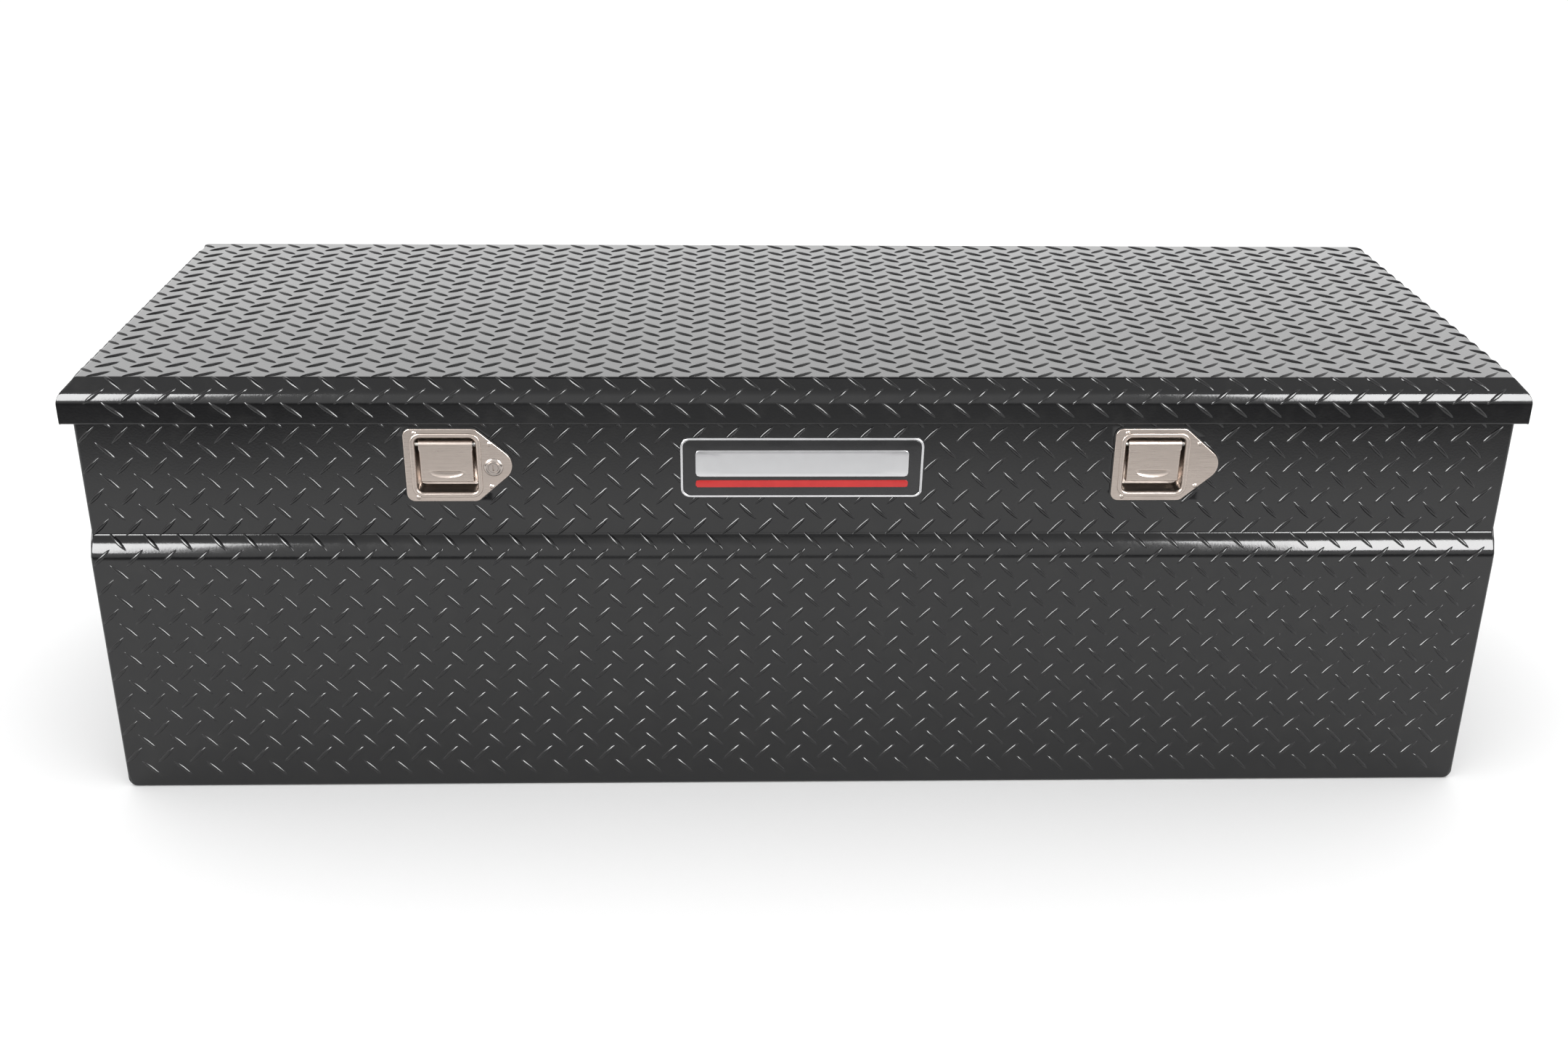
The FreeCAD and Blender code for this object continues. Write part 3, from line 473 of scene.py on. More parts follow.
def mouldedNylon():
    # black plastic: one fine grain sets its grey, its roughness and its height
    paint = newPaint("moulded_nylon")
    grain = paint.noise(800.0, detail=3.0)
    return paint.finish({"Base Color": paint.mix(grain, (0.022, 0.022, 0.023), (0.04, 0.04, 0.041)),
                         "Roughness": 0.42 + grain * 0.15,
                         "Normal": paint.bump(grain, 0.04 * mm)})


tread = blackTreadPaint()
# the lining's lifted grey is painted light for the dim inside of the chest
inside = liningWithPaintedLight()
stainless = satinMetal("latch_stainless", (0.475, 0.412, 0.370), 0.2, 0.03 * mm)
finishes = {
    "black_tread": tread,
    "bare_aluminium": satinMetal("mill_aluminium", (0.50, 0.51, 0.52), 0.28, 0.04 * mm),
    "stainless": stainless,
    "seal_rubber": sealRubber(),
    "zinc_steel": zincPlate(),
    "spring_steel": springWire(),
    "lock_chrome": polishedChrome("lock_chrome_plate", (0.42, 0.375, 0.345), 0.12),
    "badge_black": glossEnamel("badge_black_enamel", (0.010, 0.010, 0.011), (0.018, 0.018, 0.019)),
    "badge_silver": polishedChrome("badge_satin_chrome", (0.62, 0.62, 0.63), 0.2),
    "strut_black": glossEnamel("strut_black_enamel", (0.016, 0.016, 0.017), (0.026, 0.026, 0.027)),
    "strut_chrome": polishedChrome("strut_hard_chrome", (0.78, 0.77, 0.75), 0.05),
    "socket_plastic": mouldedNylon(),
}
badgeRed = glossEnamel("badge_red_enamel", (0.42, 0.012, 0.012), (0.55, 0.02, 0.018))
for part in frame["record"]["subparts"]:
    mesh = frame["nodes"][part["node"]].data
    mesh.materials.clear()
    # the floor panel shows its plain side, so it takes the lining and its painted light
    plain = part["node"] == "floor_panel"
    mesh.materials.append(inside if plain else finishes[part["material_slot"]])
print("finishes on all nodes")


sheet = {
    "wall": 1.6 * mm,
    "fold": 3 * mm,  # outer radius of the tight folds
    "roll": 2.6 * mm,  # how round the upright edges of the front and rear are
    "rollSteps": 6,
    "cornerRound": 10 * mm,  # the two bottom corners
    "columns": 61,
    "lip": 8 * mm,  # how far the rim's inner edge turns down
    "foot": 20 * mm,  # how far a panel turns in under the floor
    "pitch": (35.0 * mm, 34.8 * mm),  # between lugs of one lean, across and down
    "lean": 45.0,
    "rowZ": 0.4019,  # height of one row of lugs
}


def cornered(x, z):
    # pulls the sides of a panel in round its two bottom corners, as a quarter circle
    low = np.clip(sheet["cornerRound"] - z, 0, sheet["cornerRound"])
    inset = sheet["cornerRound"] - np.sqrt(sheet["cornerRound"] ** 2 - low ** 2)
    return x * (halfBody - inset) / halfBody


def panelPlace(run):
    # a point of the run, drawn inwards near the two sides by a quarter round
    def place(x, s):
        y, z, outY, outZ = along(run, s)
        over = np.clip((np.abs(x) - halfBody) / sheet["roll"] + 1, 0, 1)
        drawn = sheet["roll"] * (1 - np.sqrt(1 - over ** 2))
        points = np.stack([cornered(x, z), y - drawn * outY, z - drawn * outZ], -1)
        return points, np.stack([0 * x, outY, outZ], -1)
    return place


def panelColumns(extra=()):
    # even columns, with close ones in the round at each side
    turn = np.linspace(0, math.pi / 2, sheet["rollSteps"])
    edge = halfBody - sheet["roll"] * (1 - np.sin(turn))
    even = np.linspace(-edge[0], edge[0], sheet["columns"])
    return np.unique(np.concatenate([even, edge, -edge, [edge[0] - near, near - edge[0]], extra]))


def addTread(name, shape, body="chest"):
    # the raised lugs of one sheet, as one piece
    addPiece(name, shape, body, tread, smooth=60, weld=0)


front = {
    "ledgeOut": 14 * mm,
    "ledgeTop": 0.306,
    "ledgeSlope": 50.0,  # degrees from upright
    "ledgeBend": 30 * mm,
    "rim": 25 * mm,
    "opening": (66.2 * mm, 64.6 * mm),  # cut-out for a latch, across and up
    "lugX": 12.4 * mm,  # middle of one lug in the row at rowZ
    "lugTop": 4 * mm,  # bare strips above and below the lugs
    "lugLow": 8 * mm,
}


def frontRun():
    # from the rim's lip over the rim, down the panel, out over the ledge and down to the floor
    drop = front["ledgeOut"] / math.tan(math.radians(front["ledgeSlope"]))
    rim = frontFace + front["rim"]
    corners = [(rim, frontHigh.z - sheet["lip"]), (rim, frontHigh.z), (frontFace, frontHigh.z),
               (frontFace, front["ledgeTop"]), (frontLow.y, front["ledgeTop"] - drop),
               (frontLow.y, 0.0), (frontLow.y + sheet["foot"], 0.0)]
    fold = sheet["fold"]
    return bentRun(corners, [fold, fold, fold, front["ledgeBend"], fold], perBend=12)


def frontSheet():
    # the front panel's run, swept across, with a rectangle left open behind each latch
    run = frontRun()
    place = panelPlace(run)
    wide, high = front["opening"]
    top, bottom = lengthAt(run, latchZ + high / 2), lengthAt(run, latchZ - high / 2)
    sides = [centre + side * wide / 2 for centre in (-latchX, latchX) for side in (-1, 1)]
    across = panelColumns(sides)
    down = np.unique(np.concatenate([run[0], [top, bottom]]))
    holes = [(sides[k], sides[k + 1], top, bottom) for k in (0, 2)]
    addPiece("front_sheet", sheetShape(across, down, place, holes), "chest", tread,
             ["front_panel"], sheet["wall"], even=False, lining=inside)
    first = lengthAt(run, frontHigh.z - front["lugTop"])
    last = lengthAt(run, front["lugLow"])

    def clear(x, s):
        # off the sheet, or over an opening
        off = (np.abs(x) > halfBody) | (s < first) | (s > last)
        cut = (np.abs(np.abs(x) - latchX) < wide / 2) & (s > top) & (s < bottom)
        return off | cut

    start = front["lugX"], lengthAt(run, sheet["rowZ"])
    addTread("front_lugs", lugField(place, (-halfBody, halfBody), (first, last), sheet["pitch"], start,
                                    sheet["lean"], clear))


rear = {
    "gutter": 14 * mm,  # the step in at the top that carries rain away
    "rim": 18 * mm,
    "underHinge": 2 * mm,
    "lugLow": 8 * mm,
    "lugTop": 10 * mm,
    "lugRow": 0.1,  # one row's length along the run
}


def rearRun():
    # from under the floor up the back, in over the gutter and up to the rear rim's lip
    back = rearHigh.y
    step = back - rear["gutter"]
    rim = step - rear["rim"]
    high = hingeZ - rear["underHinge"]
    corners = [(back - sheet["foot"], 0.0), (back, 0.0), (back, high), (step, high),
               (step, rearHigh.z), (rim, rearHigh.z), (rim, rearHigh.z - sheet["lip"])]
    return bentRun(corners, [sheet["fold"]] * 5)


def rearSheet():
    # the rear panel's run, swept across, with lugs from the floor up to the hinge
    run = rearRun()
    place = panelPlace(run)
    addPiece("rear_sheet", sheetShape(panelColumns(), run[0], place), "chest", tread,
             ["rear_panel"], sheet["wall"], even=False, lining=inside)
    leafLow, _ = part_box("hinge_body_leaf")
    first = sheet["foot"] + rear["lugLow"]
    last = first + leafLow.z - rear["lugTop"]

    def clear(x, s):
        # off the sheet, or outside the band of lugs
        return (np.abs(x) > halfBody) | (s < first) | (s > last)

    addTread("rear_lugs", lugField(place, (-halfBody, halfBody), (first, last), sheet["pitch"],
                                   (0.0, rear["lugRow"]), sheet["lean"], clear))


end = {
    "rim": 22 * mm,
    "foot": 35 * mm,
    "columns": 25,
    "shelf": 6 * mm,  # the rim's corners are cut below the top by this much
    "lugEdge": 6 * mm,
    "screws": 13 * mm,  # the strut's two screws, above and below its stud
    "screwClear": 5 * mm,
}


def endSheet(side):
    # an end panel: its fold runs from the rim's lip down to the floor flange, and its front and
    # rear edges follow the inner faces of the other panels
    name = "right" if side > 0 else "left"
    rim = halfBody - end["rim"]
    corners = [(-rim, endHigh.z - sheet["lip"]), (-rim, endHigh.z), (-halfBody, endHigh.z),
               (-halfBody, 0.0), (end["foot"] - halfBody, 0.0)]
    length, places, normals = bentRun(corners, [sheet["fold"], sheet["fold"], sheet["cornerRound"]])
    run = length, places * [-side, 1], normals * [-side, 1]
    _, line, _ = frontRun()
    facing = slice(np.argmax(line[:, 0] <= frontFace + 1e-6), -1)
    wall = sheet["wall"]
    foot = jointAt["right_strut_tilt"]

    def edges(z, x):
        # front and rear edge at a height: the other panels' inner faces, or the rim's inner edge
        inner = (z > endHigh.z - end["shelf"]) & (np.abs(x) < halfBody - 2 * wall)
        y0 = np.interp(-z, -line[facing, 1], line[facing, 0]) + wall
        y0 = np.where(inner, frontFace + front["rim"], y0)
        stepped = z > hingeZ - rear["underHinge"] - wall
        y1 = rearHigh.y - wall - np.where(stepped, rear["gutter"], 0.0)
        return y0, np.where(inner, rearHigh.y - rear["gutter"] - rear["rim"], y1)

    def place(y, s):
        # y stays, and the run gives the rest
        x, z, outX, outZ = along(run, s)
        return np.stack([x, y, z], -1), np.stack([outX, 0 * y, outZ], -1)

    def stretched(share, s):
        # a share of the way from the front edge to the rear one
        x, z, outX, outZ = along(run, s)
        y0, y1 = edges(z, x)
        return np.stack([x, y0 + (y1 - y0) * share, z], -1), np.stack([outX, 0 * s, outZ], -1)

    shape = sheetShape(np.linspace(0, 1, end["columns"]), run[0], stretched)
    addPiece(name + "_end_sheet", shape, "chest", tread, [name + "_end_panel"], wall,
             lining=inside)
    first = lengthAt(run, endHigh.z - end["lugEdge"])
    last = lengthAt(run, end["lugEdge"])

    def clear(y, s):
        # off the sheet, or near a screw
        x, z, _, _ = along(run, s)
        y0, y1 = edges(z, x)
        screws = np.zeros(y.shape, bool)
        for up in (-end["screws"], end["screws"]):
            screws |= np.hypot(y - foot[1], z - foot[2] - up) < end["screwClear"]
        return (y < y0) | (y > y1) | (s < first) | (s > last) | screws

    start = 0.0, lengthAt(run, sheet["rowZ"])
    addTread(name + "_end_lugs", lugField(place, (frontLow.y, rearHigh.y), (first, last), sheet["pitch"],
                                          start, sheet["lean"], clear))


lid = {
    "bevel": 17 * mm,
    "bend": 19 * mm,  # radius between bevel and flange
    "topBend": 4 * mm,
    "flange": 46 * mm,
    "edge": 1.4 * mm,  # round at the flange's lower edge
    "overHinge": 1 * mm,
    "lap": 7 * mm,  # the flanges meet this far below the bevel
    "spacing": 3 * mm,
    "every": 9,  # of the rows on the wide flat, one in so many is kept
    "allNear": 6 * mm,  # but all of them this near its edges
    "pitch": (36.2 * mm, 29.3 * mm),
    "lean": 39.0,
    "lugX": 18.1 * mm,  # middle of one lug
    "lugY": -0.1917,
    "rearBare": 27 * mm,
    "endBare": 6 * mm,
    "frontBare": 5 * mm,
    "mitreBare": 0.5 * mm,
}


def thinned(run, top):
    # lengths of every point in the folds, and of every few points on the wide flat
    length, places, _ = run
    flat = np.isclose(places[:, 1], top, atol=1e-6)
    half = np.ptp(places[flat, 0]) / 2 - lid["allNear"]
    wide = flat & (np.abs(places[:, 0] - places[flat, 0].mean()) < half)
    return length[~wide | (np.arange(len(places)) % lid["every"] == 0)]


def lidSheet():
    # the lid: one fold runs from the rear flange over the top and down the front flange, the other
    # over the two ends, and each point takes the lower of the two heights, so the bevels meet in
    # mitres
    top, low = lidHigh.z, lidHigh.z - lid["flange"]
    bevel, bend, topBend, edge = lid["bevel"], lid["bend"], lid["topBend"], lid["edge"]
    frontY, rearY, endX = lidLow.y, rearHigh.y, lidHigh.x
    side = bentRun([(rearY, hingeZ + lid["overHinge"]), (rearY, top), (frontY + bevel, top),
                    (frontY, top - bevel), (frontY, low), (frontY + edge, low)],
                   [sheet["fold"], topBend, bend, edge], lid["spacing"])
    ends = bentRun([(endX - edge, low), (endX, low), (endX, top - bevel), (endX - bevel, top),
                    (bevel - endX, top), (-endX, top - bevel), (-endX, low), (edge - endX, low)],
                   [edge, bend, topBend, topBend, bend, edge], lid["spacing"])
    middle = ends[0][-1] / 2

    def place(x, v):
        acrossX, acrossZ, outX, upX = along(ends, middle - x)
        downY, downZ, outY, upY = along(side, v)
        byEnd = (acrossZ < downZ)[..., None]
        normal = np.where(byEnd, np.stack([outX, 0 * x, upX], -1), np.stack([0 * x, outY, upY], -1))
        return np.stack([acrossX, downY, np.minimum(acrossZ, downZ)], -1), normal

    def heights(x, v):
        # the height that each fold alone gives
        _, byEnds, _, _ = along(ends, middle - x)
        _, bySide, _, _ = along(side, v)
        return byEnds, bySide

    across = middle - thinned(ends, top)[::-1]
    down = thinned(side, top)
    points, quads = sheetShape(across, down, place)
    flatX, flatV = (grid.ravel() for grid in np.meshgrid(across, down, indexing="ij"))
    byEnds, bySide = heights(flatX, flatV)
    below = top - bevel - lid["lap"]
    both = (byEnds < below) & (bySide < below) & (flatV > side[0][-1] / 2)
    doubled = both[quads].all(1)
    addPiece("lid_sheet", (points, quads[~doubled]), "lid", tread, ["lid_skin"],
             sheet["wall"], lining=inside)
    flat = side[1][:, 1] > top - 1e-5
    start = lid["lugX"], np.interp(-lid["lugY"], -side[1][flat, 0], side[0][flat])
    reachX = middle - lid["endBare"]
    reachV = side[0][-1] - lid["frontBare"]

    def clear(x, v):
        # off the sheet, or by a mitre, where both folds are below the top
        byEnds, bySide = heights(x, v)
        bevelled = top - lid["mitreBare"]
        mitre = (byEnds < bevelled) & (bySide < bevelled)
        return (np.abs(x) > reachX) | (v < lid["rearBare"]) | (v > reachV) | mitre

    addTread("lid_lugs", lugField(place, (-reachX, reachX), (lid["rearBare"], reachV), lid["pitch"],
                                  start, lid["lean"], clear), "lid")


frontSheet()
rearSheet()
endSheet(1)
endSheet(-1)
lidSheet()
print("tread sheets made")


def bandOutline(circles, grow=0.0, count=160, about=None):
    # a band pulled tight round circles (x, z, radius): each direction's furthest point on a circle,
    # then evenly spaced points along that line, or at even angles about a point inside it
    directions = 4 * 360
    angle = np.linspace(0, math.tau, directions + 1)
    way = np.stack([np.cos(angle), np.sin(angle)], -1)
    spots = np.asarray(circles, float)
    best = (way @ spots[:, :2].T + spots[:, 2]).argmax(1)
    line = spots[best, :2] + (spots[best, 2:] + grow) * way
    if about is not None:
        bearing = np.arctan2(line[:-1, 1] - about[1], line[:-1, 0] - about[0])
        at = np.linspace(0, math.tau, count, endpoint=False)
        return np.stack([np.interp(at, bearing, line[:-1, k], period=math.tau) for k in (0, 1)], -1)
    length = np.concatenate([[0.0], np.cumsum(np.linalg.norm(np.diff(line, axis=0), axis=1))])
    at = np.linspace(0, length[-1], count, endpoint=False)
    return np.stack([np.interp(at, length, line[:, k]) for k in (0, 1)], -1)


def roundedBox(middleX, middleZ, halfX, halfZ, radius):
    # the four circles of a rounded rectangle
    x, z = halfX - radius, halfZ - radius
    ways = ((1, 1), (-1, 1), (-1, -1), (1, -1))
    return [(middleX + a * x, middleZ + b * z, radius) for a, b in ways]


def ringShape(rings, capped=False):
    # rings of (outline, depth) joined into one surface, with a flat cap at both ends if capped
    points = np.stack([np.stack([line[:, 0], np.full(len(line), y), line[:, 1]], -1)
                       for line, y in rings])
    count = points.shape[1]
    faces = gridFaces(len(rings), count, closed=True).tolist()
    if capped:
        last = (len(rings) - 1) * count
        faces += [list(range(count)), list(range(last, last + count))[::-1]]
    return points, faces


def raisedPlate(circles, back, face, edge, steps=5):
    # a flat plate whose front edge is a quarter round, closed at the back
    turn = np.linspace(0, math.pi / 2, steps)
    rings = [(bandOutline(circles), back)]
    rings += [(bandOutline(circles, edge * (math.cos(a) - 1)), face + edge * (1 - math.sin(a)))
              for a in turn]
    middle = np.mean(np.asarray(circles)[:, :2], axis=0)
    last = rings[-1][0]
    rings += [(middle + (last - middle) * share, face) for share in (0.75, 0.5, 0.25)]
    return ringShape(rings, capped=True)


def turnedShape(profile, x, z, count=64):
    # a closed profile of (radius, depth) points carried round an axis along y
    radius, depth = np.asarray(profile + profile[:1], float).T
    angle = np.arange(count) * math.tau / count
    points = np.stack([x + radius[:, None] * np.cos(angle), depth[:, None] + 0 * angle,
                       z + radius[:, None] * np.sin(angle)], -1)
    return points, gridFaces(len(radius), count, closed=True).tolist()


latchFace = frontFace - 2.6 * mm
pan = {  # all in mm. A ring says how far it lies outside its outline and behind the plate's face.
    "plate": ((-34.7, -32.5, 8.5), (28.0, -32.5, 8.5), (50.5, 0.0, 18.0), (28.0, 32.5, 8.5),
              (-34.7, 32.5, 8.5)),  # circles inside the plate's corners: across, up, radius
    "edge": ((-0.5, 1.6), (0.0, 1.1), (0.0, 0.6), (-0.3, 0.2), (-0.9, 0.0), (-1.5, 0.0)),
    "mouth": (31.3, 30.5, 6.0),  # half width, half height and corner of the opening
    "flat": 6.4,
    "beadAt": 3.3,
    "beadHalf": 2.3,
    "beadHigh": 1.15,
    "beadFull": 0.8,  # less makes the bead's top flatter
    "beadSteps": 8,
    "well": ((0.5, 0.5), (0.1, 1.2), (0.0, 2.2), (0.0, 12.0), (0.0, 20.0), (-0.4, 21.0), (-1.2, 21.4)),
    "slot": (5.0, 9.0, 1.0),
    "slotUp": 14.0,
    "slotDeep": 21.4,
    "wall": 1.2,
    "around": 240,
}


def latchPan(side, x):
    # stamped plate: a rolled outer edge, a flat, a half-round bead about the opening, then the
    # pocket's walls and its back, which is open at the slot for the hook
    outer = [(x + a * mm, latchZ + b * mm, radius * mm) for a, b, radius in pan["plate"]]
    mouth = roundedBox(x, latchZ, *(size * mm for size in pan["mouth"]))
    slotZ = latchZ + pan["slotUp"] * mm
    slot = roundedBox(x, slotZ, *(size * mm for size in pan["slot"]))

    def ring(circles, grow, deep, z=latchZ):
        # an outline grown by so much, at a depth behind the face
        return bandOutline(circles, grow * mm, pan["around"], (x, z)), latchFace + deep * mm

    rings = [ring(outer, grow, deep) for grow, deep in pan["edge"]]
    rings.append(ring(mouth, pan["flat"], 0.0))
    for turn in np.linspace(0, math.pi, pan["beadSteps"] + 1)[:-1]:
        high = pan["beadHigh"] * math.sin(turn) ** pan["beadFull"]
        rings.append(ring(mouth, pan["beadAt"] + pan["beadHalf"] * math.cos(turn), -high))
    rings += [ring(mouth, grow, deep) for grow, deep in pan["well"]]
    rings.append(ring(slot, 0.0, pan["slotDeep"], slotZ))
    addPiece(side + "_pan", ringShape(rings), "chest", stainless,
             [side + "_latch_pan"], pan["wall"] * mm, smooth=50, even=False)


paddle = {
    "half": 28 * mm,
    "below": 19.5 * mm,  # lower edge, under the latch's middle
    "curl": 4.6 * mm,  # radius round the pin
    "curlArc": (-60, 180, 19),  # degrees from, to, and points
    "flatFrom": 0.5 * mm,  # below the pin
    "rows": 0.8 * mm,
    "columns": 1.0 * mm,
    "wall": 1.5 * mm,
    "return": 7 * mm,
    "soft": 2.0 * mm,
    "foldFrom": 5 * mm,  # the sides turn back from here below the pin
    "foldOver": 2 * mm,  # and are fully turned this much lower
    "dimpleTop": 12 * mm,  # above the lower edge
    "dimpleHigh": 7 * mm,
    "dimpleHalf": 18 * mm,
    "dimpleDeep": 1.5 * mm,
    "dimpleEdge": 0.8 * mm,
    "tail": (4.4 * mm, 12 * mm),  # behind the pin, from and to
    "tailHalf": 6 * mm,
    "tailRound": 1.4 * mm,
    "tailPoints": 40,
}


def latchPaddle(side, x):
    # paddle: its top is curled round the pin, then it runs down flat and turns back at its bottom
    # and its two sides. A point lies as deep as the deeper of the two folds, and a lens is pressed
    # in above the lower edge.
    _, pivotY, pivotZ = jointAt[side + "_paddle_pull"]
    half, curl, soft, back = paddle["half"], paddle["curl"], paddle["soft"], paddle["return"]
    face, low = pivotY - curl, latchZ - paddle["below"]
    angle = np.radians(np.linspace(*paddle["curlArc"]))
    arc = np.stack([pivotY + curl * np.cos(angle), pivotZ + curl * np.sin(angle)], -1)
    _, flat, _ = bentRun([(face, pivotZ - paddle["flatFrom"]), (face, low), (face + back, low)], [soft],
                         paddle["rows"])
    down = np.vstack([arc, flat])
    _, across, _ = bentRun([(-half, back), (-half, 0), (half, 0), (half, back)], [soft, soft],
                           paddle["columns"])
    wide, deep = across[:, :1], across[:, 1:]
    y, z = down[:, 0][None], down[:, 1][None]
    belowArc = np.arange(len(down)) >= len(arc)
    folded = np.clip((pivotZ - paddle["foldFrom"] - z) / paddle["foldOver"], 0, 1) * belowArc
    lensTop = low + paddle["dimpleTop"]
    drop = np.clip((lensTop - z) / paddle["dimpleHigh"], 0, 2)
    lens = np.clip(1 - (wide / paddle["dimpleHalf"]) ** 2 - drop ** 2, 0, 1)
    lens = lens * np.clip((lensTop - z) / paddle["dimpleEdge"] + 0.5, 0, 1)
    pressed = paddle["dimpleDeep"] * lens ** 0.5 * belowArc
    points = np.stack([x + wide + 0 * z, np.maximum(y, face + deep * folded) + pressed, z + 0 * wide], -1)
    quads = gridFaces(*points.shape[:2])
    corner = ((deep > soft) & (y > face + soft) & belowArc).ravel()
    quads = quads[~corner[quads].all(1)]
    addPiece(side + "_paddle_plate", (points, quads), side + "_paddle", stainless,
             [side + "_paddle"], paddle["wall"], smooth=40, even=False)

    count = paddle["tailPoints"]
    line = bandOutline([(pivotY + y, pivotZ, paddle["tailRound"]) for y in paddle["tail"]], 0.0, count)
    tips = [np.stack([np.full(count, x + way * paddle["tailHalf"]), line[:, 0], line[:, 1]], -1)
            for way in (-1, 1)]
    faces = gridFaces(2, count, closed=True).tolist()
    faces += [list(range(count)), list(range(count, 2 * count))[::-1]]
    addPiece(side + "_paddle_tail", (np.stack(tips), faces), side + "_paddle", stainless)


lock = {  # all in mm
    "dome": 10.25,
    "domeHigh": 2.3,
    "collar": ((7.9, 2.0), (7.5, 1.5), (7.0, 1.5), (6.7, 2.1), (5.3, 2.1), (5.05, 1.8)),
    "bore": 5.05,
    "barrel": 7.0,
    "behind": 24.0,  # end of the barrel, behind the panel's face
    "thread": 0.35,
    "threadStep": 0.6,
    "threadPoints": 29,
}


def keyLock():
    # lock housing: a domed collar with a groove inside it, whose points are a radius and a height
    # above the plate, and the threaded barrel behind it, a zigzag of two radii
    x, _, z = jointAt["lock_turn"]
    back = frontFace + lock["behind"] * mm
    barrel = lock["barrel"] * mm
    dome = [(lock["dome"] * math.cos(a) * mm, latchFace - lock["domeHigh"] * math.sin(a) * mm)
            for a in np.radians([0, 20, 38, 50])]
    collar = [(radius * mm, latchFace - high * mm) for radius, high in lock["collar"]]
    thread = [(barrel - lock["thread"] * mm * (k % 2), back - k * lock["threadStep"] * mm)
              for k in range(1, lock["threadPoints"] + 1)]
    profile = dome + collar + [(lock["bore"] * mm, back), (barrel, back)] + thread + [(barrel, latchFace)]
    addPiece("lock_collar", turnedShape(profile, x, z), "chest", finishes["lock_chrome"],
             ["lock_housing"], smooth=40)


for side, x in (("left", -latchX), ("right", latchX)):
    latchPan(side, x)
    latchPaddle(side, x)
keyLock()
print("latches made")


badge = {
    "corner": 7 * mm,
    "edge": 0.6 * mm,
    "trim": 3.0 * mm,
    "trimHigh": 3.2 * mm,
    "trimRound": 1.4 * mm,
    "trimSteps": 9,
    "sunk": 0.3 * mm,  # how deep the bar and the stripe lie in the field
    "bar": {"up": 5 * mm, "half": (112 * mm, 15 * mm), "corner": 4 * mm, "proud": 0.7 * mm,
            "edge": 0.6 * mm},
    "stripe": {"up": -18 * mm, "half": (112 * mm, 4 * mm), "corner": 2 * mm, "proud": 0.5 * mm,
               "edge": 0.4 * mm},
}


def badgeMark(name, mark, paint):
    # a plain rounded bar that stands a little proud of the badge's field
    circles = roundedBox(0.0, (badgeLow.z + badgeHigh.z) / 2 + mark["up"], *mark["half"], mark["corner"])
    shape = raisedPlate(circles, badgeLow.y + badge["sunk"], badgeLow.y - mark["proud"], mark["edge"])
    addPiece(name, shape, "chest", paint)


def badgePieces():
    # a plain field, a half-round rim about it, a silver bar and a thin red stripe below the bar
    silver, trim, bead = finishes["badge_silver"], badge["trim"], badge["trimRound"]
    middleZ = (badgeLow.z + badgeHigh.z) / 2
    field = roundedBox(0.0, middleZ, badgeHigh.x, badgeHigh.z - middleZ, badge["corner"])
    addPiece("badge_field", raisedPlate(field, frontFace, badgeLow.y, badge["edge"]), "chest",
             finishes["badge_black"], ["badge_plate"])
    root = frontFace - badge["trimHigh"] + bead
    rings = [(bandOutline(field, trim), frontFace)]
    rings += [(bandOutline(field, trim / 2 * (1 + math.cos(a))), root - bead * math.sin(a))
              for a in np.linspace(0, math.pi, badge["trimSteps"])]
    rings += [(bandOutline(field), frontFace), (bandOutline(field, trim), frontFace)]
    addPiece("badge_rim", ringShape(rings), "chest", silver, ["badge_trim"], smooth=50)
    badgeMark("badge_bar", badge["bar"], silver)
    badgeMark("badge_stripe", badge["stripe"], badgeRed)


badgePieces()
print("badge made")


seal = {
    "foot": 2 * mm,
    "width": 10 * mm,
    "bulb": (4.3 * mm, 3.9 * mm),
    "bulbArc": (-40, 220, 17),  # degrees from, to, and points
    "corner": 14 * mm,
    "around": 360,
}


def bulbSeal():
    # a bulb on a flat foot, carried round the rim: each point of the section is an inset from the
    # seal's outer line and a height, and the bulb is an ellipse open at the foot
    low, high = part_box("lid_seal")
    foot, width, (bulbWide, bulbHigh) = seal["foot"], seal["width"], seal["bulb"]
    middle = high.z - low.z - bulbHigh
    bulb = [(width / 2 + bulbWide * math.cos(a), middle + bulbHigh * math.sin(a))
            for a in np.radians(np.linspace(*seal["bulbArc"]))]
    section = [(width, 0.0), (width, foot)] + bulb + [(0.0, foot), (0.0, 0.0), (width, 0.0)]
    circles = roundedBox(0.0, (low.y + high.y) / 2, high.x, (high.y - low.y) / 2, seal["corner"])
    around = seal["around"]
    lines = [(bandOutline(circles, -inset, around), low.z + up) for inset, up in section]
    points = np.stack([np.stack([line[:, 0], line[:, 1], np.full(around, z)], -1) for line, z in lines])
    shape = points, gridFaces(len(section), around, closed=True).tolist()
    addPiece("rim_seal", shape, "chest", finishes["seal_rubber"], ["lid_seal"], smooth=50)


bulbSeal()
print("seal made")


view = {"from": (-0.0743, -1.9383, 1.0924), "pitch": 24.593, "yaw": 1.899, "roll": 0.685, "lens": 39.903,
        "sensor": 36.0}
floorPaint = {"Base Color": (0.88, 0.88, 0.88), "Roughness": 0.9}
skyGlow = {"stops": ((0.62, 1.0), (0.94, 0.6), (0.975, 0.08)), "strength": 1.25}
lamps = {  # the overhead one lights matt surfaces, the others show only in the gloss
    "left_softbox": {"at": (-2.15, -2.3, 1.75), "aim": (-1.2, 0, 0.6), "size": (1.4, 1.9), "power": 155},
    "right_softbox": {"at": (1.95, -2.3, 1.75), "aim": (1.2, 0, 0.6), "size": (1.4, 1.9), "power": 155},
    "back_softbox": {"at": (0.0, 6.4, 2.9), "aim": (0, 0, 0.5), "size": (14.0, 3.2), "power": 128},
    "overhead": {"at": (0.0, 0.0, 6.0), "aim": (0, 0, 0), "size": (9.0, 9.0), "power": 260, "matt": True},
}
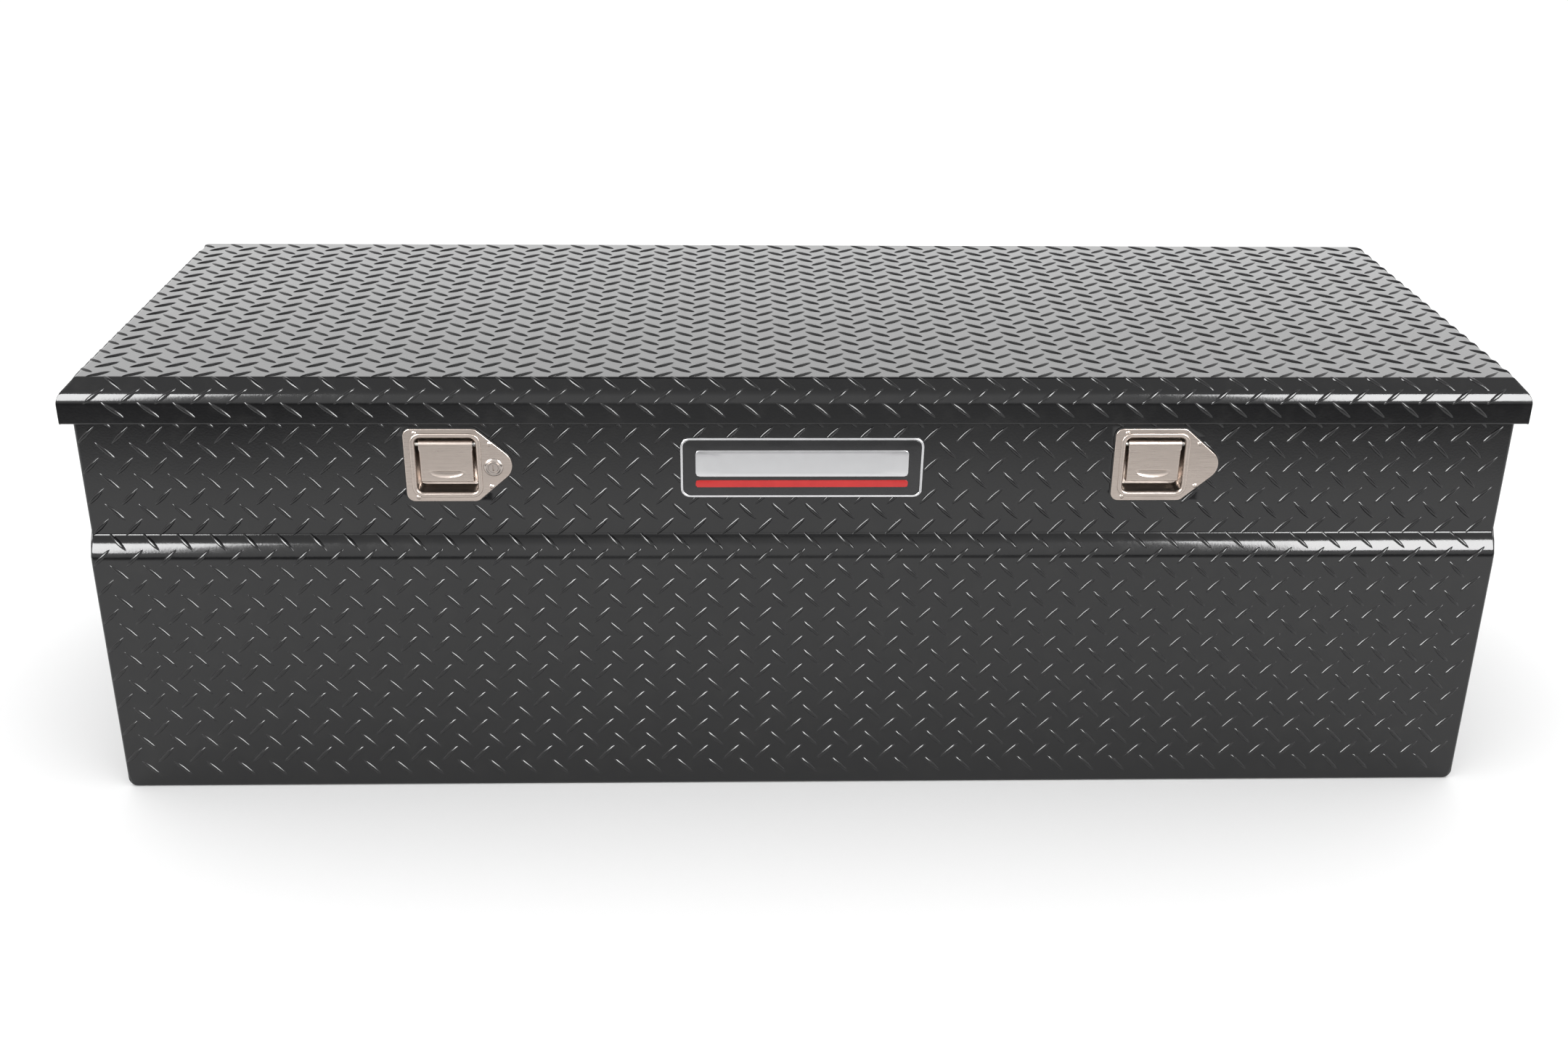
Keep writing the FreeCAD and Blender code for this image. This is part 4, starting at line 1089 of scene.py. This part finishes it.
# the card paints a darker reflection into the faces above it; only their gloss sees it
card = {"half": 4.0, "far": -4.0, "near": -1.06, "up": 0.003, "aside": ((0.25, 0.30), (0.95, 0.02)),
        "ahead": ((0.36, 0.0), (0.72, 1.0)), "from": -0.7}


def softbox(name, at, aim, size, power, matt=False):
    # a rectangle of light, turned from straight down to face its aim
    lamp = bpy.data.lights.new(name, "AREA")
    lamp.shape = "RECTANGLE"
    lamp.size, lamp.size_y = size
    lamp.energy = power
    box = bpy.data.objects.new(name, lamp)
    bpy.context.scene.collection.objects.link(box)
    away = np.array(at, float) - np.array(aim, float)
    flat = math.hypot(away[0], away[1])
    box.matrix_world = (Matrix.Translation(at)
                        @ Matrix.Rotation(math.atan2(away[0], -away[1]), 4, "Z")
                        @ Matrix.Rotation(math.atan2(flat, away[2]), 4, "X"))
    box.visible_camera = False
    box.visible_diffuse = matt
    box.visible_glossy = not matt


def levelCard(name, half, near, far, up, paint):
    # one rectangle that lies level and faces up
    mesh = bpy.data.meshes.new(name)
    corners = [(-half, far, up), (half, far, up), (half, near, up), (-half, near, up)]
    mesh.from_pydata(corners, [], [(0, 1, 2, 3)])
    mesh.materials.append(paint)
    made = bpy.data.objects.new(name, mesh)
    bpy.context.scene.collection.objects.link(made)
    return made


def skyPaint():
    # the sky is bright at its sides and dark straight above, by a ramp on its height
    sky = Paint(bpy.data.worlds.new("studio"), "Background")
    way = sky.node("ShaderNodeTexCoord")
    height = sky.node("ShaderNodeSeparateXYZ", {}, {"Vector": way}, output=2)
    return sky.finish({"Color": sky.ramp(height, *skyGlow["stops"]), "Strength": skyGlow["strength"]})


def reflectionCardPaint():
    # pale as the floor at its near edge and dark from a little further off, by a ramp on the distance
    # ahead, and darker towards the sides, by a ramp on the distance aside: a painted reflection, seen
    # only in the gloss of the faces above it
    paint = newPaint("card_shade")
    aside = paint.node("ShaderNodeSeparateXYZ", {}, {"Vector": paint.place()}, output=0)
    ahead = paint.node("ShaderNodeSeparateXYZ", {}, {"Vector": paint.place()}, output=1)
    dark = paint.ramp(abs(aside), *card["aside"])
    pale = paint.ramp(card["from"] - ahead, *card["ahead"])
    return paint.finish(floorPaint | {"Base Color": paint.mix(pale, floorPaint["Base Color"], dark)})


def studio():
    # the camera stands at its place and turns by yaw, pitch and roll; then floor, sky, lamps, and a
    # dark card low in front, which only the gloss of the faces above it sees: it paints a darker
    # reflection into those faces
    eye = bpy.data.cameras.new("eye")
    eye.lens = view["lens"]
    eye.sensor_width = view["sensor"]
    camera = bpy.data.objects.new("eye", eye)
    bpy.context.scene.collection.objects.link(camera)
    camera.matrix_world = (Matrix.Translation(view["from"])
                           @ Matrix.Rotation(math.radians(-view["yaw"]), 4, "Z")
                           @ Matrix.Rotation(math.radians(90 - view["pitch"]), 4, "X")
                           @ Matrix.Rotation(math.radians(view["roll"]), 4, "Z"))
    bpy.context.scene.camera = camera
    bpy.context.scene.view_settings.view_transform = "Standard"
    levelCard("floor", 30.0, 30.0, -30.0, 0.0, newPaint("pale_floor").finish(floorPaint))
    bpy.context.scene.world = skyPaint()
    for name, values in lamps.items():
        softbox(name, **values)
    flag = levelCard("front_card", card["half"], card["near"], card["far"], card["up"], reflectionCardPaint())
    flag.visible_camera = False
    flag.visible_diffuse = False
    flag.visible_shadow = False
    flag.visible_transmission = False


studio()
print("camera, floor and light set")
